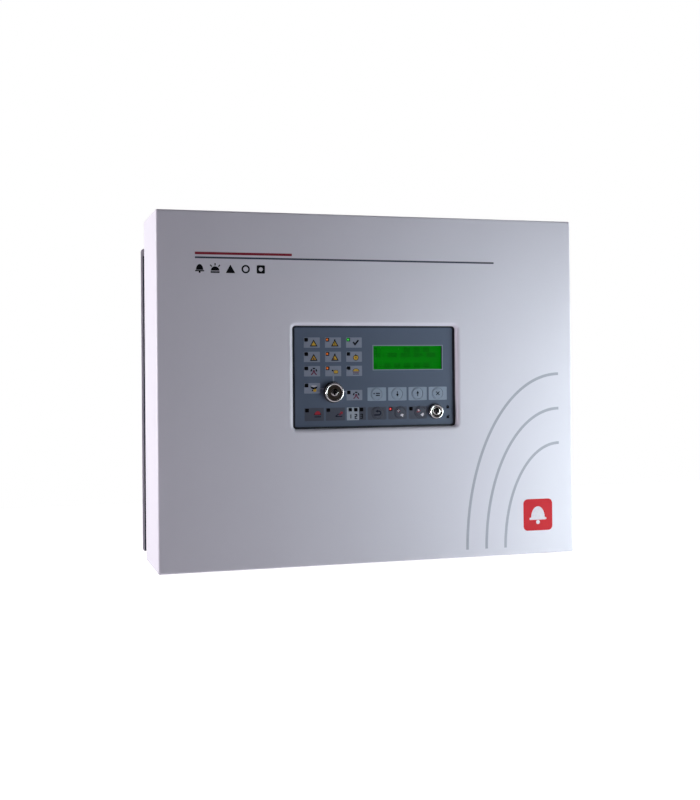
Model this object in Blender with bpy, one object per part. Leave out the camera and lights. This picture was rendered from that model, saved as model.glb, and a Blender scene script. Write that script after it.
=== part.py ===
"""Wall-hung fire alarm control panel: back box, hinged deep door, operating fascia and inner equipment.

Lengths are written in millimetres and scaled to metres when a mesh is made. +Z is up, the wall is the
plane y = 0, and the door faces -Y. The origin is the middle of the back plate's wall side.
"""
import math

import bmesh
import bpy
from mathutils import Matrix, Vector

MM = 0.001
GAP = 0.3

# Door: a deep folded cover with a window whose edge is rolled inwards
DOOR_W = 450.0
DOOR_H = 360.0
DOOR_FRONT = -108.0
DOOR_REAR = -11.0
DOOR_SHEET = 1.2
DOOR_BEND = 2.0
WINDOW_X = 2.1
WINDOW_Z = 12.65
WINDOW_W = 177.8
WINDOW_H = 105.7
WINDOW_CORNER = 3.5
WINDOW_ROLL = 4.5
WINDOW_DEPTH = 6.2

# Back box: a flat back plate with a folded tray on it
PLATE_W = 455.0
PLATE_BOTTOM = -171.0
PLATE_TOP = 151.5
PLATE_SHEET = 1.5
TRAY_W = 416.0
TRAY_BOTTOM = -154.0
TRAY_TOP = 138.0
TRAY_FRONT = -62.0
SEAL_OUT = 225.2
SEAL_IN = 214.0
SEAL_BOTTOM = -169.5
SEAL_TOP = 143.5
SEAL_FRONT = -7.7
WALL_HOLE_R = 3.0
WALL_HOLE_X = 195.0
WALL_HOLE_TOP = 105.0
WALL_HOLE_BOTTOM = -35.0
KEYHOLE_R = 5.5
KEYHOLE_DROP = 9.0
SEAT_HALF = 9.5
SEAT_RISE = 0.8

# Hinge: two lift-off hinges on one vertical axis behind the door's left wall
HINGE_X = -219.3
HINGE_Y = -15.3
HINGE_Z = {"upper": 110.0, "lower": -120.0}
PIN_R = 1.6
BARREL_BORE = 1.82
BARREL_R = 3.5
BARREL_L = 14.0
TONGUE_T = 2.0
TONGUE_R = 4.0

# Fascia: a dark carrier plate behind the window, with a printed overlay on its front
CARRIER_FRONT = -101.4
CARRIER_T = 1.5
CARRIER_MARGIN = 11.0
OVERLAY_T = 0.4
OVERLAY_INSET_X = 2.8
OVERLAY_INSET_Z = 2.0
TILE_PITCH = 22.55
COLUMN_X = -65.8
ROW_Z = 48.2
ROW_PITCH = 14.7
BOTTOM_Z = -25.6
BOTTOM_X = -63.9
MENU_X = 3.7
MENU_Z = -5.6
LED_SIDE = 2.8
LED_DX = -6.0
LED_DZ = 2.9
BOTTOM_LED_DX = -7.6
BOTTOM_LED_DZ = 4.2

# Display
LCD_X = 38.4
LCD_Z = 32.4
LCD_W = 76.2
LCD_H = 24.6

# Keys
KEY_R = 5.6
KEY_CLEAR = 0.3
KEY_PROUD = 0.2
KEY_FLANGE_R = 6.8
BOARD_FRONT = -95.5
BOARD_T = 1.6
HEADER_X = -78.0
HEADER_Z = -20.0

# Key switch and door lock
SWITCH_X = -43.1
SWITCH_Z = -3.2
SWITCH_R = 10.0
SWITCH_BORE = 4.15
SWITCH_BARREL = 8.0
LOCK_X = 68.9
LOCK_Z = -24.6
LOCK_R = 7.6
LOCK_BORE = 4.3
LOCK_BARREL = 6.0
CAM_Y = -79.0
CAM_T = 2.0
CAM_REACH = 22.0
CAM_HUB_R = 6.0
CAM_TIP_R = 4.0
STRIKER_DX = 24.0
STRIKER_LIP = 10.0
STRIKER_FOOT = 18.0
STRIKER_HALF = 10.0

# Equipment in the tray
FLOOR = -PLATE_SHEET
GROMMET_Y = -32.0
GROMMET_HOLE = 10.0
LOOM_HOLE = 5.2
EARTH_X = 180.0
EARTH_Z = -75.0
STANDOFF_R = 3.2
STANDOFF_INSET = 6.0
MAIN_BOARD = (-150.0, 60.0, -20.0, 122.0)
MAIN_BOARD_BACK = -11.8
SUPPLY = (84.0, 184.0, 4.0, 124.0)
BATTERY = (151.0, 65.0, 94.0)
BATTERY_X = {"left": -160.0, "right": -6.0}
BATTERY_BAR = (-112.0, -96.0)
LOOM_R = 2.5
LOOM_Z = 45.0

DOOR_NODES = (
    "front_door", "hinge_barrel_", "fascia_", "lcd_", "light_guide_", "keypad_board", "buzzer",
    "key_", "lock_", "loom_door_side",
)

CARRIER_BACK = CARRIER_FRONT + CARRIER_T
OVERLAY_FRONT = CARRIER_FRONT - GAP - OVERLAY_T
BOARD_BACK = BOARD_FRONT + BOARD_T


# Helpers

def clear_scene():
    for old in list(bpy.data.objects):
        bpy.data.objects.remove(old, do_unlink=True)


def material(name, colour, rough, metal=0.0, alpha=1.0):
    found = bpy.data.materials.get(name)
    if found:
        return found
    made = bpy.data.materials.new(name)
    made.use_nodes = True
    shader = made.node_tree.nodes["Principled BSDF"]
    shader.inputs["Base Color"].default_value = (*colour, 1.0)
    shader.inputs["Roughness"].default_value = rough
    shader.inputs["Metallic"].default_value = metal
    shader.inputs["Alpha"].default_value = alpha
    return made


def paint():
    return material("grey_white_paint", (0.74, 0.75, 0.80), 0.45)


def zinc():
    return material("zinc_plated_steel", (0.62, 0.63, 0.66), 0.35, 1.0)


def nickel():
    return material("nickel_plate", (0.78, 0.77, 0.75), 0.18, 1.0)


def black_plastic():
    return material("black_plastic", (0.02, 0.02, 0.025), 0.5)


def rubber():
    return material("black_rubber", (0.015, 0.017, 0.022), 0.85)


def carrier_paint():
    return material("dark_carrier_paint", (0.012, 0.018, 0.030), 0.5)


def overlay_film():
    return material("slate_overlay_film", (0.085, 0.105, 0.150), 0.4)


def key_film():
    return material("light_key_film", (0.26, 0.32, 0.40), 0.4)


def board_green():
    return material("green_circuit_board", (0.02, 0.16, 0.06), 0.4)


def terminal_green():
    return material("green_terminal_plastic", (0.03, 0.30, 0.12), 0.45)


def clear_plastic():
    return material("clear_plastic", (0.85, 0.90, 0.90), 0.05, 0.0, 0.35)


def display_green():
    return material("display_green", (0.01, 0.30, 0.02), 0.15)


def battery_grey():
    return material("battery_case_grey", (0.10, 0.11, 0.12), 0.55)


def loom_jacket():
    return material("loom_jacket", (0.05, 0.05, 0.06), 0.6)


def white_plastic():
    return material("white_plastic", (0.80, 0.79, 0.74), 0.5)


def relay_blue():
    return material("relay_case_blue", (0.03, 0.10, 0.30), 0.4)


def smooth(obj, angle=35.0):
    obj.data.shade_smooth()
    obj.data.set_sharp_from_angle(angle=math.radians(angle))


def make(name, bm, finish, origin=(0.0, 0.0, 0.0), round_shape=False):
    """An object from a bmesh in millimetres, with its own origin given in millimetres."""
    bmesh.ops.remove_doubles(bm, verts=bm.verts, dist=1e-4)
    bmesh.ops.recalc_face_normals(bm, faces=bm.faces)
    shift = Matrix.Translation(-Vector(origin))
    bmesh.ops.transform(bm, matrix=Matrix.Scale(MM, 4) @ shift, verts=bm.verts)
    mesh = bpy.data.meshes.new(name)
    bm.to_mesh(mesh)
    bm.free()
    obj = bpy.data.objects.new(name, mesh)
    obj.location = Vector(origin) * MM
    bpy.context.scene.collection.objects.link(obj)
    mesh.materials.append(finish)
    if round_shape:
        smooth(obj)
    return obj


def add_box(bm, low, high):
    size = Vector(high) - Vector(low)
    middle = (Vector(high) + Vector(low)) / 2
    matrix = Matrix.Translation(middle) @ Matrix.Diagonal((*size, 1.0))
    bmesh.ops.create_cube(bm, size=1.0, matrix=matrix)


def box(name, low, high, finish, edge=0.0):
    bm = bmesh.new()
    add_box(bm, low, high)
    if edge:
        bmesh.ops.bevel(bm, geom=bm.edges[:], offset=edge, segments=1, affect="EDGES")
    return make(name, bm, finish)


def turn_to(axis):
    """The rotation that takes +Z to the named axis."""
    return {
        "Z": Matrix.Identity(4),
        "X": Matrix.Rotation(math.radians(90), 4, "Y"),
        "Y": Matrix.Rotation(math.radians(-90), 4, "X"),
    }[axis]


def add_turned(bm, profile, centre, axis, steps):
    """A closed turned body: profile is (radius, height) pairs, running round from axis to axis or closed."""
    rings = []
    for radius, height in profile:
        if radius == 0.0:
            rings.append([bm.verts.new((0.0, 0.0, height))])
            continue
        ring = []
        for i in range(steps):
            a = 2 * math.pi * i / steps
            ring.append(bm.verts.new((radius * math.cos(a), radius * math.sin(a), height)))
        rings.append(ring)
    pairs = list(zip(rings, rings[1:]))
    if profile[0][0] != 0.0:
        pairs.append((rings[-1], rings[0]))
    for first, second in pairs:
        for i in range(steps):
            j = (i + 1) % steps
            near = (first[i % len(first)], first[j % len(first)])
            far = (second[j % len(second)], second[i % len(second)])
            corners = list(dict.fromkeys(near + far))
            if len(corners) > 2:
                bm.faces.new(corners)
    verts = [v for ring in rings for v in ring]
    bmesh.ops.transform(bm, matrix=Matrix.Translation(centre) @ turn_to(axis), verts=verts)


def turned(name, profile, centre, axis, finish, steps=24):
    bm = bmesh.new()
    add_turned(bm, profile, centre, axis, steps)
    return make(name, bm, finish, origin=centre, round_shape=True)


def rod(low, high, radius):
    """Profile of a plain cylinder from height low to high."""
    return [(0.0, low), (radius, low), (radius, high), (0.0, high)]


def tube(low, high, inner, outer):
    """Profile of a plain sleeve."""
    return [(inner, low), (outer, low), (outer, high), (inner, high)]


def cutter(name, bm):
    obj = make(name, bm, zinc())
    obj.hide_render = True
    obj.display_type = "WIRE"
    return obj


def boolean(obj, tool, operation):
    step = obj.modifiers.new(tool.name, "BOOLEAN")
    step.operation = operation
    step.solver = "EXACT"
    step.object = tool


def cut_round(obj, name, centre, axis, radius, length, steps=24):
    bm = bmesh.new()
    add_turned(bm, rod(-length / 2, length / 2, radius), centre, axis, steps)
    boolean(obj, cutter(name, bm), "DIFFERENCE")


def cut_box(obj, name, low, high):
    bm = bmesh.new()
    add_box(bm, low, high)
    boolean(obj, cutter(name, bm), "DIFFERENCE")


def cut_boxes(obj, name, boxes):
    bm = bmesh.new()
    for low, high in boxes:
        add_box(bm, low, high)
    boolean(obj, cutter(name, bm), "DIFFERENCE")


def rounded(left, right, bottom, top, corner, y, steps=4):
    """Points of a rounded rectangle at depth y, anticlockwise from the right-hand side."""
    points = []
    for cx, cz, start in (
        (right - corner, top - corner, 0.0),
        (left + corner, top - corner, 90.0),
        (left + corner, bottom + corner, 180.0),
        (right - corner, bottom + corner, 270.0),
    ):
        for i in range(steps + 1):
            a = math.radians(start + 90.0 * i / steps)
            points.append((cx + corner * math.cos(a), y, cz + corner * math.sin(a)))
    return points


def loft(name, outlines, finish, capped, round_shape=True):
    """Skin through outlines of equal point count: capped at both ends, or joined back to the first."""
    bm = bmesh.new()
    rings = [[bm.verts.new(p) for p in outline] for outline in outlines]
    pairs = list(zip(rings, rings[1:]))
    if not capped:
        pairs.append((rings[-1], rings[0]))
    for first, second in pairs:
        count = len(first)
        for i in range(count):
            j = (i + 1) % count
            bm.faces.new((first[i], first[j], second[j], second[i]))
    if capped:
        bm.faces.new(rings[0])
        bm.faces.new(rings[-1])
    return make(name, bm, finish, round_shape=round_shape)


def prism(near_points, far_points):
    """A closed body between two matching outlines."""
    bm = bmesh.new()
    near = [bm.verts.new(p) for p in near_points]
    far = [bm.verts.new(p) for p in far_points]
    for i in range(len(near)):
        j = (i + 1) % len(near)
        bm.faces.new((near[i], near[j], far[j], far[i]))
    bm.faces.new(near)
    bm.faces.new(far)
    return bm


def upright(outline, low_z, high_z):
    """A closed body from an outline in X and Y, run from low_z to high_z."""
    return prism([(x, y, low_z) for x, y in outline], [(x, y, high_z) for x, y in outline])


def arc(centre, radius, start, end, steps):
    """Points of an arc in a plane, with the angles in degrees."""
    points = []
    for i in range(steps + 1):
        a = math.radians(start + (end - start) * i / steps)
        points.append((centre[0] + radius * math.cos(a), centre[1] + radius * math.sin(a)))
    return points


def smooth_path(points, steps):
    """Points on a Catmull-Rom curve through the route's own points."""
    route = [2 * points[0] - points[1], *points, 2 * points[-1] - points[-2]]
    path = []
    for a, b, c, d in zip(route, route[1:], route[2:], route[3:]):
        for i in range(steps):
            t = i / steps
            bend = (2 * a - 5 * b + 4 * c - d) * t * t + (3 * b - a - 3 * c + d) * t ** 3
            path.append(0.5 * (2 * b + (c - a) * t + bend))
    path.append(points[-1])
    return path


def cable(name, points, radius, finish, steps=5):
    curve = bpy.data.curves.new(name, "CURVE")
    curve.dimensions = "3D"
    curve.bevel_depth = radius * MM
    curve.bevel_resolution = 2
    curve.use_fill_caps = True
    spline = curve.splines.new("POLY")
    path = smooth_path([Vector(p) for p in points], steps)
    spline.points.add(len(path) - 1)
    for point, place in zip(spline.points, path):
        point.co = (*(place * MM), 1.0)
    obj = bpy.data.objects.new(name, curve)
    bpy.context.scene.collection.objects.link(obj)
    curve.materials.append(finish)
    return obj


# Enclosure

def back_box():
    half = PLATE_W / 2
    tray = TRAY_W / 2
    inner = tray - PLATE_SHEET
    plate = (-half, half, PLATE_BOTTOM, PLATE_TOP, 3.0)
    wall = (-tray, tray, TRAY_BOTTOM, TRAY_TOP, 3.0)
    inside = (-inner, inner, TRAY_BOTTOM + PLATE_SHEET, TRAY_TOP - PLATE_SHEET, 1.5)
    obj = loft("back_box", [
        rounded(*plate, 0.0, 3),
        rounded(*plate, FLOOR, 3),
        rounded(*wall, FLOOR, 3),
        rounded(*wall, TRAY_FRONT, 3),
        rounded(*inside, TRAY_FRONT, 3),
        rounded(*inside, FLOOR, 3),
    ], paint(), capped=True)
    for tag, x in (("left", -WALL_HOLE_X), ("right", WALL_HOLE_X)):
        wall_holes(obj, tag, x)
    for i, x in enumerate(grommet_places()):
        cut_round(obj, f"cut_gland_{i}", (x, GROMMET_Y, TRAY_TOP - 1), "Z", GROMMET_HOLE, 8.0, 24)
    cut_round(obj, "cut_loom", (-tray, HINGE_Y, LOOM_Z), "X", LOOM_HOLE, 10.0, 20)
    cut_round(obj, "cut_earth", (EARTH_X, 0, EARTH_Z), "Y", 3.3, 12.0, 16)
    add_standoffs(obj)
    return obj


def wall_holes(obj, tag, x):
    """A keyhole above and a round hole below, each in a raised seat for the screw's head or washer."""
    entry = WALL_HOLE_TOP - KEYHOLE_DROP
    for name, low, high in (
        ("upper", entry - SEAT_HALF, WALL_HOLE_TOP + SEAT_HALF),
        ("lower", WALL_HOLE_BOTTOM - SEAT_HALF, WALL_HOLE_BOTTOM + SEAT_HALF),
    ):
        bm = bmesh.new()
        add_box(bm, (x - SEAT_HALF, FLOOR - SEAT_RISE, low), (x + SEAT_HALF, FLOOR / 2, high))
        boolean(obj, cutter(f"add_seat_{name}_{tag}", bm), "UNION")
    cut_round(obj, f"cut_keyhole_{tag}", (x, 0, entry), "Y", KEYHOLE_R, 12.0, 20)
    cut_box(obj, f"cut_slot_{tag}", (x - WALL_HOLE_R, -6, entry), (x + WALL_HOLE_R, 6, WALL_HOLE_TOP))
    cut_round(obj, f"cut_screw_{tag}", (x, 0, WALL_HOLE_BOTTOM), "Y", WALL_HOLE_R, 12.0, 16)


def grommet_places():
    return (-110.0, -30.0, 50.0)


def standoff_places():
    left, right, bottom, top = MAIN_BOARD
    inset = STANDOFF_INSET
    return [(x, z) for x in (left + inset, right - inset) for z in (bottom + inset, top - inset)]


def add_standoffs(obj):
    """Pressed-in hexagon standoffs under the main board, one piece with the back plate."""
    for i, (x, z) in enumerate(standoff_places()):
        bm = bmesh.new()
        top = -MAIN_BOARD_BACK - GAP
        add_turned(bm, [(0.0, 0.8), (STANDOFF_R, 0.8), (STANDOFF_R, top), (0.0, top)], (0, 0, 0), "Z", 6)
        turn = Matrix.Translation((x, 0, z)) @ Matrix.Rotation(math.radians(90), 4, "X")
        bmesh.ops.transform(bm, matrix=turn, verts=bm.verts)
        boolean(obj, cutter(f"add_standoff_{i}", bm), "UNION")


def front_door():
    half_w = DOOR_W / 2
    half_h = DOOR_H / 2
    left = WINDOW_X - WINDOW_W / 2
    right = WINDOW_X + WINDOW_W / 2
    low = WINDOW_Z - WINDOW_H / 2
    high = WINDOW_Z + WINDOW_H / 2

    def shell(inset, corner, y):
        return rounded(-half_w + inset, half_w - inset, -half_h + inset, half_h - inset, corner, y)

    def window(grow, y):
        return rounded(left - grow, right + grow, low - grow, high + grow, WINDOW_CORNER + grow, y)

    outlines = [shell(0.0, DOOR_BEND, DOOR_REAR)]
    for i in range(4):
        a = math.radians(90.0 * i / 3)
        inset = DOOR_BEND * (1 - math.cos(a))
        outlines.append(shell(inset, DOOR_BEND, DOOR_FRONT + DOOR_BEND * (1 - math.sin(a))))
    for i in range(5):
        a = math.radians(90.0 * i / 4)
        grow = WINDOW_ROLL * (1 - math.sin(a))
        outlines.append(window(grow, DOOR_FRONT + WINDOW_ROLL * (1 - math.cos(a))))
    outlines.append(window(0.0, DOOR_FRONT + WINDOW_DEPTH))
    outlines.append(window(DOOR_SHEET, DOOR_FRONT + WINDOW_DEPTH))
    roll = WINDOW_ROLL - DOOR_SHEET
    for i in range(4, -1, -1):
        a = math.radians(90.0 * i / 4)
        grow = WINDOW_ROLL - roll * math.sin(a)
        outlines.append(window(grow, DOOR_FRONT + WINDOW_ROLL - roll * math.cos(a)))
    bend = DOOR_BEND - DOOR_SHEET
    for i in range(2, -1, -1):
        a = math.radians(90.0 * i / 2)
        inset = DOOR_BEND - bend * math.cos(a)
        outlines.append(shell(inset, bend, DOOR_FRONT + DOOR_BEND - bend * math.sin(a)))
    outlines.append(shell(DOOR_SHEET, bend, DOOR_REAR))
    obj = loft("front_door", outlines, paint(), capped=False)
    for i, (x, z) in enumerate(carrier_stud_places()):
        bm = bmesh.new()
        add_turned(bm, rod(DOOR_FRONT + 0.6, CARRIER_BACK + 4.5, 1.5), (x, 0, z), "Y", 12)
        boolean(obj, cutter(f"add_stud_{i}", bm), "UNION")
    return obj


def carrier_edges():
    left = WINDOW_X - WINDOW_W / 2 - CARRIER_MARGIN
    right = WINDOW_X + WINDOW_W / 2 + CARRIER_MARGIN
    low = WINDOW_Z - WINDOW_H / 2 - CARRIER_MARGIN
    high = WINDOW_Z + WINDOW_H / 2 + CARRIER_MARGIN
    return left, right, low, high


def carrier_stud_places():
    """Weld studs on the back of the door's front, outside the window's rolled edge."""
    left, right, low, high = carrier_edges()
    inset = 4.0
    return [(x, z) for x in (left + inset, right - inset) for z in (low + inset, high - inset)]


def edge_seal(tag, side):
    low, high = sorted((side * SEAL_IN, side * SEAL_OUT))
    return box(
        f"edge_seal_{tag}",
        (low, SEAL_FRONT, SEAL_BOTTOM),
        (high, FLOOR - GAP, SEAL_TOP),
        rubber(),
    )


def hinge(tag):
    """A bracket on the tray, a riveted pin standing up through it, and the door's barrel over the pin."""
    z = HINGE_Z[tag]
    leaf_out = -TRAY_W / 2 - GAP
    bm = bmesh.new()
    add_box(bm, (leaf_out - 1.5, HINGE_Y - 9, z - 14), (leaf_out, HINGE_Y + 7, z + 16))
    bracket = make(f"hinge_bracket_{tag}", bm, zinc())
    root = leaf_out - 0.7
    outline = [(root, HINGE_Y - TONGUE_R), (root, HINGE_Y + TONGUE_R)]
    outline += arc((HINGE_X, HINGE_Y), TONGUE_R, 90, 270, 8)
    boolean(bracket, cutter(f"add_tongue_{tag}", upright(outline, z - TONGUE_T, z)), "UNION")
    cut_round(bracket, f"cut_pin_{tag}", (HINGE_X, HINGE_Y, z - 1), "Z", PIN_R + GAP, 8.0, 16)
    turned(f"hinge_pin_{tag}", [
        (0.0, -TONGUE_T - GAP - 1.2),
        (2.8, -TONGUE_T - GAP - 1.2),
        (2.8, -TONGUE_T - GAP),
        (PIN_R, -TONGUE_T - GAP),
        (PIN_R, BARREL_L - 2.5),
        (PIN_R * 0.6, BARREL_L - 1.5),
        (0.0, BARREL_L - 1.5),
    ], (HINGE_X, HINGE_Y, z), "Z", zinc(), 16)
    barrel = turned(
        f"hinge_barrel_{tag}",
        tube(GAP, BARREL_L, BARREL_BORE, BARREL_R),
        (HINGE_X, HINGE_Y, z), "Z", zinc(), 16,
    )
    wall = -DOOR_W / 2 + DOOR_SHEET + GAP
    bm = bmesh.new()
    add_box(bm, (wall, HINGE_Y - 26, z + GAP), (wall + 1.2, HINGE_Y, z + BARREL_L))
    boolean(barrel, cutter(f"add_leaf_{tag}", bm), "UNION")


def striker_bracket():
    """A folded post from the back plate whose lip the lock's cam turns behind."""
    sheet = 1.5
    post = LOCK_X + STRIKER_DX
    lip = CAM_Y - 3.6
    foot = FLOOR - GAP
    make("striker_bracket", upright([
        (post, foot - sheet),
        (post, lip + sheet),
        (post - STRIKER_LIP, lip + sheet),
        (post - STRIKER_LIP, lip),
        (post + sheet, lip),
        (post + sheet, foot - sheet),
        (post + STRIKER_FOOT, foot - sheet),
        (post + STRIKER_FOOT, foot),
        (post, foot),
    ], LOCK_Z - STRIKER_HALF, LOCK_Z + STRIKER_HALF), zinc())


# Fascia

def indicator_tiles():
    """Centres of the nine zone and state tiles, with the two tiles beside the key switch."""
    tiles = [
        (COLUMN_X + column * TILE_PITCH, ROW_Z - row * ROW_PITCH)
        for row in range(3)
        for column in range(3)
    ]
    tiles.append((COLUMN_X, 1.3))
    tiles.append((COLUMN_X + 2 * TILE_PITCH, -6.3))
    return tiles


def upper_leds():
    return [(x + LED_DX, z + LED_DZ) for x, z in indicator_tiles()]


def output_leds():
    """Lamps of the first three bottom tiles; the third tile has three of them."""
    z = BOTTOM_Z + BOTTOM_LED_DZ
    first = BOTTOM_X + BOTTOM_LED_DX
    third = BOTTOM_X + 2 * TILE_PITCH
    places = [(first, z), (first + TILE_PITCH, z)]
    places += [(third + dx, z) for dx in (-6.6, -0.5, 5.6)]
    return places


def key_leds():
    z = BOTTOM_Z + BOTTOM_LED_DZ
    return [(BOTTOM_X + n * TILE_PITCH + BOTTOM_LED_DX, z) for n in (4, 5)]


def key_places():
    """Name, x and z of each key: four menu keys, then reset and two sounder keys."""
    places = [
        (name, MENU_X + n * TILE_PITCH, MENU_Z)
        for n, name in enumerate(("menu", "down", "up", "cancel"))
    ]
    places.append(("reset", BOTTOM_X + 3 * TILE_PITCH + 0.7, BOTTOM_Z + 0.3))
    places.append(("silence", BOTTOM_X + 4 * TILE_PITCH + 3.0, BOTTOM_Z + 0.4))
    places.append(("evacuate", BOTTOM_X + 5 * TILE_PITCH + 3.0, BOTTOM_Z + 0.4))
    return places


def led_holes(grow, front, back):
    half = LED_SIDE / 2 + grow
    return [
        ((x - half, front, z - half), (x + half, back, z + half))
        for x, z in upper_leds() + output_leds() + key_leds()
    ]


def cut_fascia(obj, tag, front, back):
    """The openings that the carrier and the overlay share."""
    deep = 2 * (back - front) + 4.0
    middle = (front + back) / 2
    cut_boxes(obj, f"cut_leds_{tag}", led_holes(GAP, front - 1, back + 1))
    for name, x, z in key_places():
        cut_round(obj, f"cut_{name}_{tag}", (x, middle, z), "Y", KEY_R + KEY_CLEAR, deep, 20)
    cut_round(obj, f"cut_switch_{tag}", (SWITCH_X, middle, SWITCH_Z), "Y", SWITCH_BARREL + GAP, deep)
    cut_round(obj, f"cut_lock_{tag}", (LOCK_X, middle, LOCK_Z), "Y", LOCK_BARREL + GAP, deep)


def fascia_carrier():
    left, right, low, high = carrier_edges()
    obj = loft("fascia_carrier", [
        rounded(left, right, low, high, 4.0, CARRIER_FRONT, 3),
        rounded(left, right, low, high, 4.0, CARRIER_BACK, 3),
    ], carrier_paint(), capped=True, round_shape=False)
    cut_fascia(obj, "carrier", CARRIER_FRONT, CARRIER_BACK)
    cut_box(
        obj, "cut_display_carrier",
        (LCD_X - LCD_W / 2 - 1, CARRIER_FRONT - 2, LCD_Z - LCD_H / 2 - 1),
        (LCD_X + LCD_W / 2 + 1, CARRIER_BACK + 2, LCD_Z + LCD_H / 2 + 1),
    )
    for i, (x, z) in enumerate(carrier_stud_places()):
        cut_round(obj, f"cut_stud_{i}", (x, CARRIER_FRONT, z), "Y", 1.9, 8.0, 12)
    return obj


def fascia_overlay():
    left = WINDOW_X - WINDOW_W / 2 + OVERLAY_INSET_X
    right = WINDOW_X + WINDOW_W / 2 - OVERLAY_INSET_X
    low = WINDOW_Z - WINDOW_H / 2 + OVERLAY_INSET_Z
    high = WINDOW_Z + WINDOW_H / 2 - OVERLAY_INSET_Z
    back = OVERLAY_FRONT + OVERLAY_T
    obj = loft("fascia_overlay", [
        rounded(left, right, low, high, 1.5, OVERLAY_FRONT, 3),
        rounded(left, right, low, high, 1.5, back, 3),
    ], overlay_film(), capped=True, round_shape=False)
    cut_fascia(obj, "overlay", OVERLAY_FRONT, back)
    cut_box(
        obj, "cut_display_overlay",
        (LCD_X - LCD_W / 2 - GAP, OVERLAY_FRONT - 2, LCD_Z - LCD_H / 2 - GAP),
        (LCD_X + LCD_W / 2 + GAP, back + 2, LCD_Z + LCD_H / 2 + GAP),
    )
    return obj


def display():
    """The clear window in the overlay, and behind it the module: metal bezel, glass and board."""
    half_w = LCD_W / 2
    half_h = LCD_H / 2
    box(
        "lcd_window",
        (LCD_X - half_w, OVERLAY_FRONT, LCD_Z - half_h),
        (LCD_X + half_w, CARRIER_BACK - 0.2, LCD_Z + half_h),
        clear_plastic(),
    )
    front = CARRIER_BACK + GAP
    glass_front = front + 0.9
    board = BOARD_BACK + GAP
    bezel = box(
        "lcd_bezel",
        (LCD_X - half_w - 5, front, LCD_Z - half_h - 5),
        (LCD_X + half_w + 4, board - GAP, LCD_Z + half_h + 5),
        black_plastic(),
    )
    cut_box(
        bezel, "cut_bezel_front",
        (LCD_X - half_w, front - 1, LCD_Z - half_h),
        (LCD_X + half_w, front + 2, LCD_Z + half_h),
    )
    cut_box(
        bezel, "cut_bezel_back",
        (LCD_X - half_w - 2, glass_front - GAP, LCD_Z - half_h - 2),
        (LCD_X + half_w + 2, glass_front + 9, LCD_Z + half_h + 2),
    )
    box(
        "lcd_glass",
        (LCD_X - half_w - 1.5, glass_front, LCD_Z - half_h - 1.5),
        (LCD_X + half_w + 1.5, glass_front + 3.6, LCD_Z + half_h + 1.5),
        display_green(),
    )
    box(
        "lcd_board",
        (LCD_X - half_w - 8, board, LCD_Z - half_h - 9),
        (LCD_X + half_w + 6, board + BOARD_T, LCD_Z + half_h + 9),
        board_green(),
    )


def union_boxes(name, boxes, finish):
    """One body from overlapping boxes, joined one after another."""
    low, high = boxes[0]
    obj = box(name, low, high, finish)
    for n, (low, high) in enumerate(boxes[1:]):
        bm = bmesh.new()
        add_box(bm, low, high)
        boolean(obj, cutter(f"add_{name}_{n}", bm), "UNION")
    return obj


def light_guides():
    back = CARRIER_BACK + GAP
    half = LED_SIDE / 2

    def peg(x, z):
        return ((x - half, OVERLAY_FRONT, z - half), (x + half, back + 0.6, z + half))

    def strip(left, right, low, high):
        return ((left, back, low), (right, back + 1.0, high))

    lamps = upper_leds()
    left_x = lamps[0][0]
    right_x = lamps[2][0]
    zone = [strip(left_x - 3, right_x + 3, lamps[6][1] - 3, lamps[0][1] + 3)]
    zone.append(strip(left_x - 2.5, left_x + 2.5, lamps[9][1] - 2, lamps[6][1]))
    zone.append(strip(right_x - 2.4, right_x + 2.4, lamps[10][1] - 2, lamps[6][1]))
    union_boxes("light_guide_zones", zone + [peg(x, z) for x, z in lamps], clear_plastic())
    row = output_leds()
    plate = strip(row[0][0] - 3, row[-1][0] + 3, row[0][1] - 3, row[0][1] + 3)
    union_boxes("light_guide_outputs", [plate] + [peg(x, z) for x, z in row], clear_plastic())
    for (x, z), name in zip(key_leds(), ("silence", "evacuate")):
        plate = strip(x - 2.2, x + 2.2, z - 2.2, z + 2.2)
        union_boxes(f"light_guide_{name}", [plate, peg(x, z)], clear_plastic())


def keys():
    """Each key is a stepped button: cap through the fascia, flange behind it, plunger towards its switch."""
    front = OVERLAY_FRONT - KEY_PROUD
    flange = CARRIER_BACK + GAP
    for name, x, z in key_places():
        finish = key_film() if z == MENU_Z else overlay_film()
        turned(f"key_{name}", [
            (0.0, 0.0),
            (KEY_R, 0.0),
            (KEY_R, flange - front),
            (KEY_FLANGE_R, flange - front),
            (KEY_FLANGE_R, flange - front + 0.8),
            (1.6, flange - front + 0.8),
            (1.6, flange - front + 1.6),
            (0.0, flange - front + 1.6),
        ], (x, front, z), "Y", finish, 20)


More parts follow.
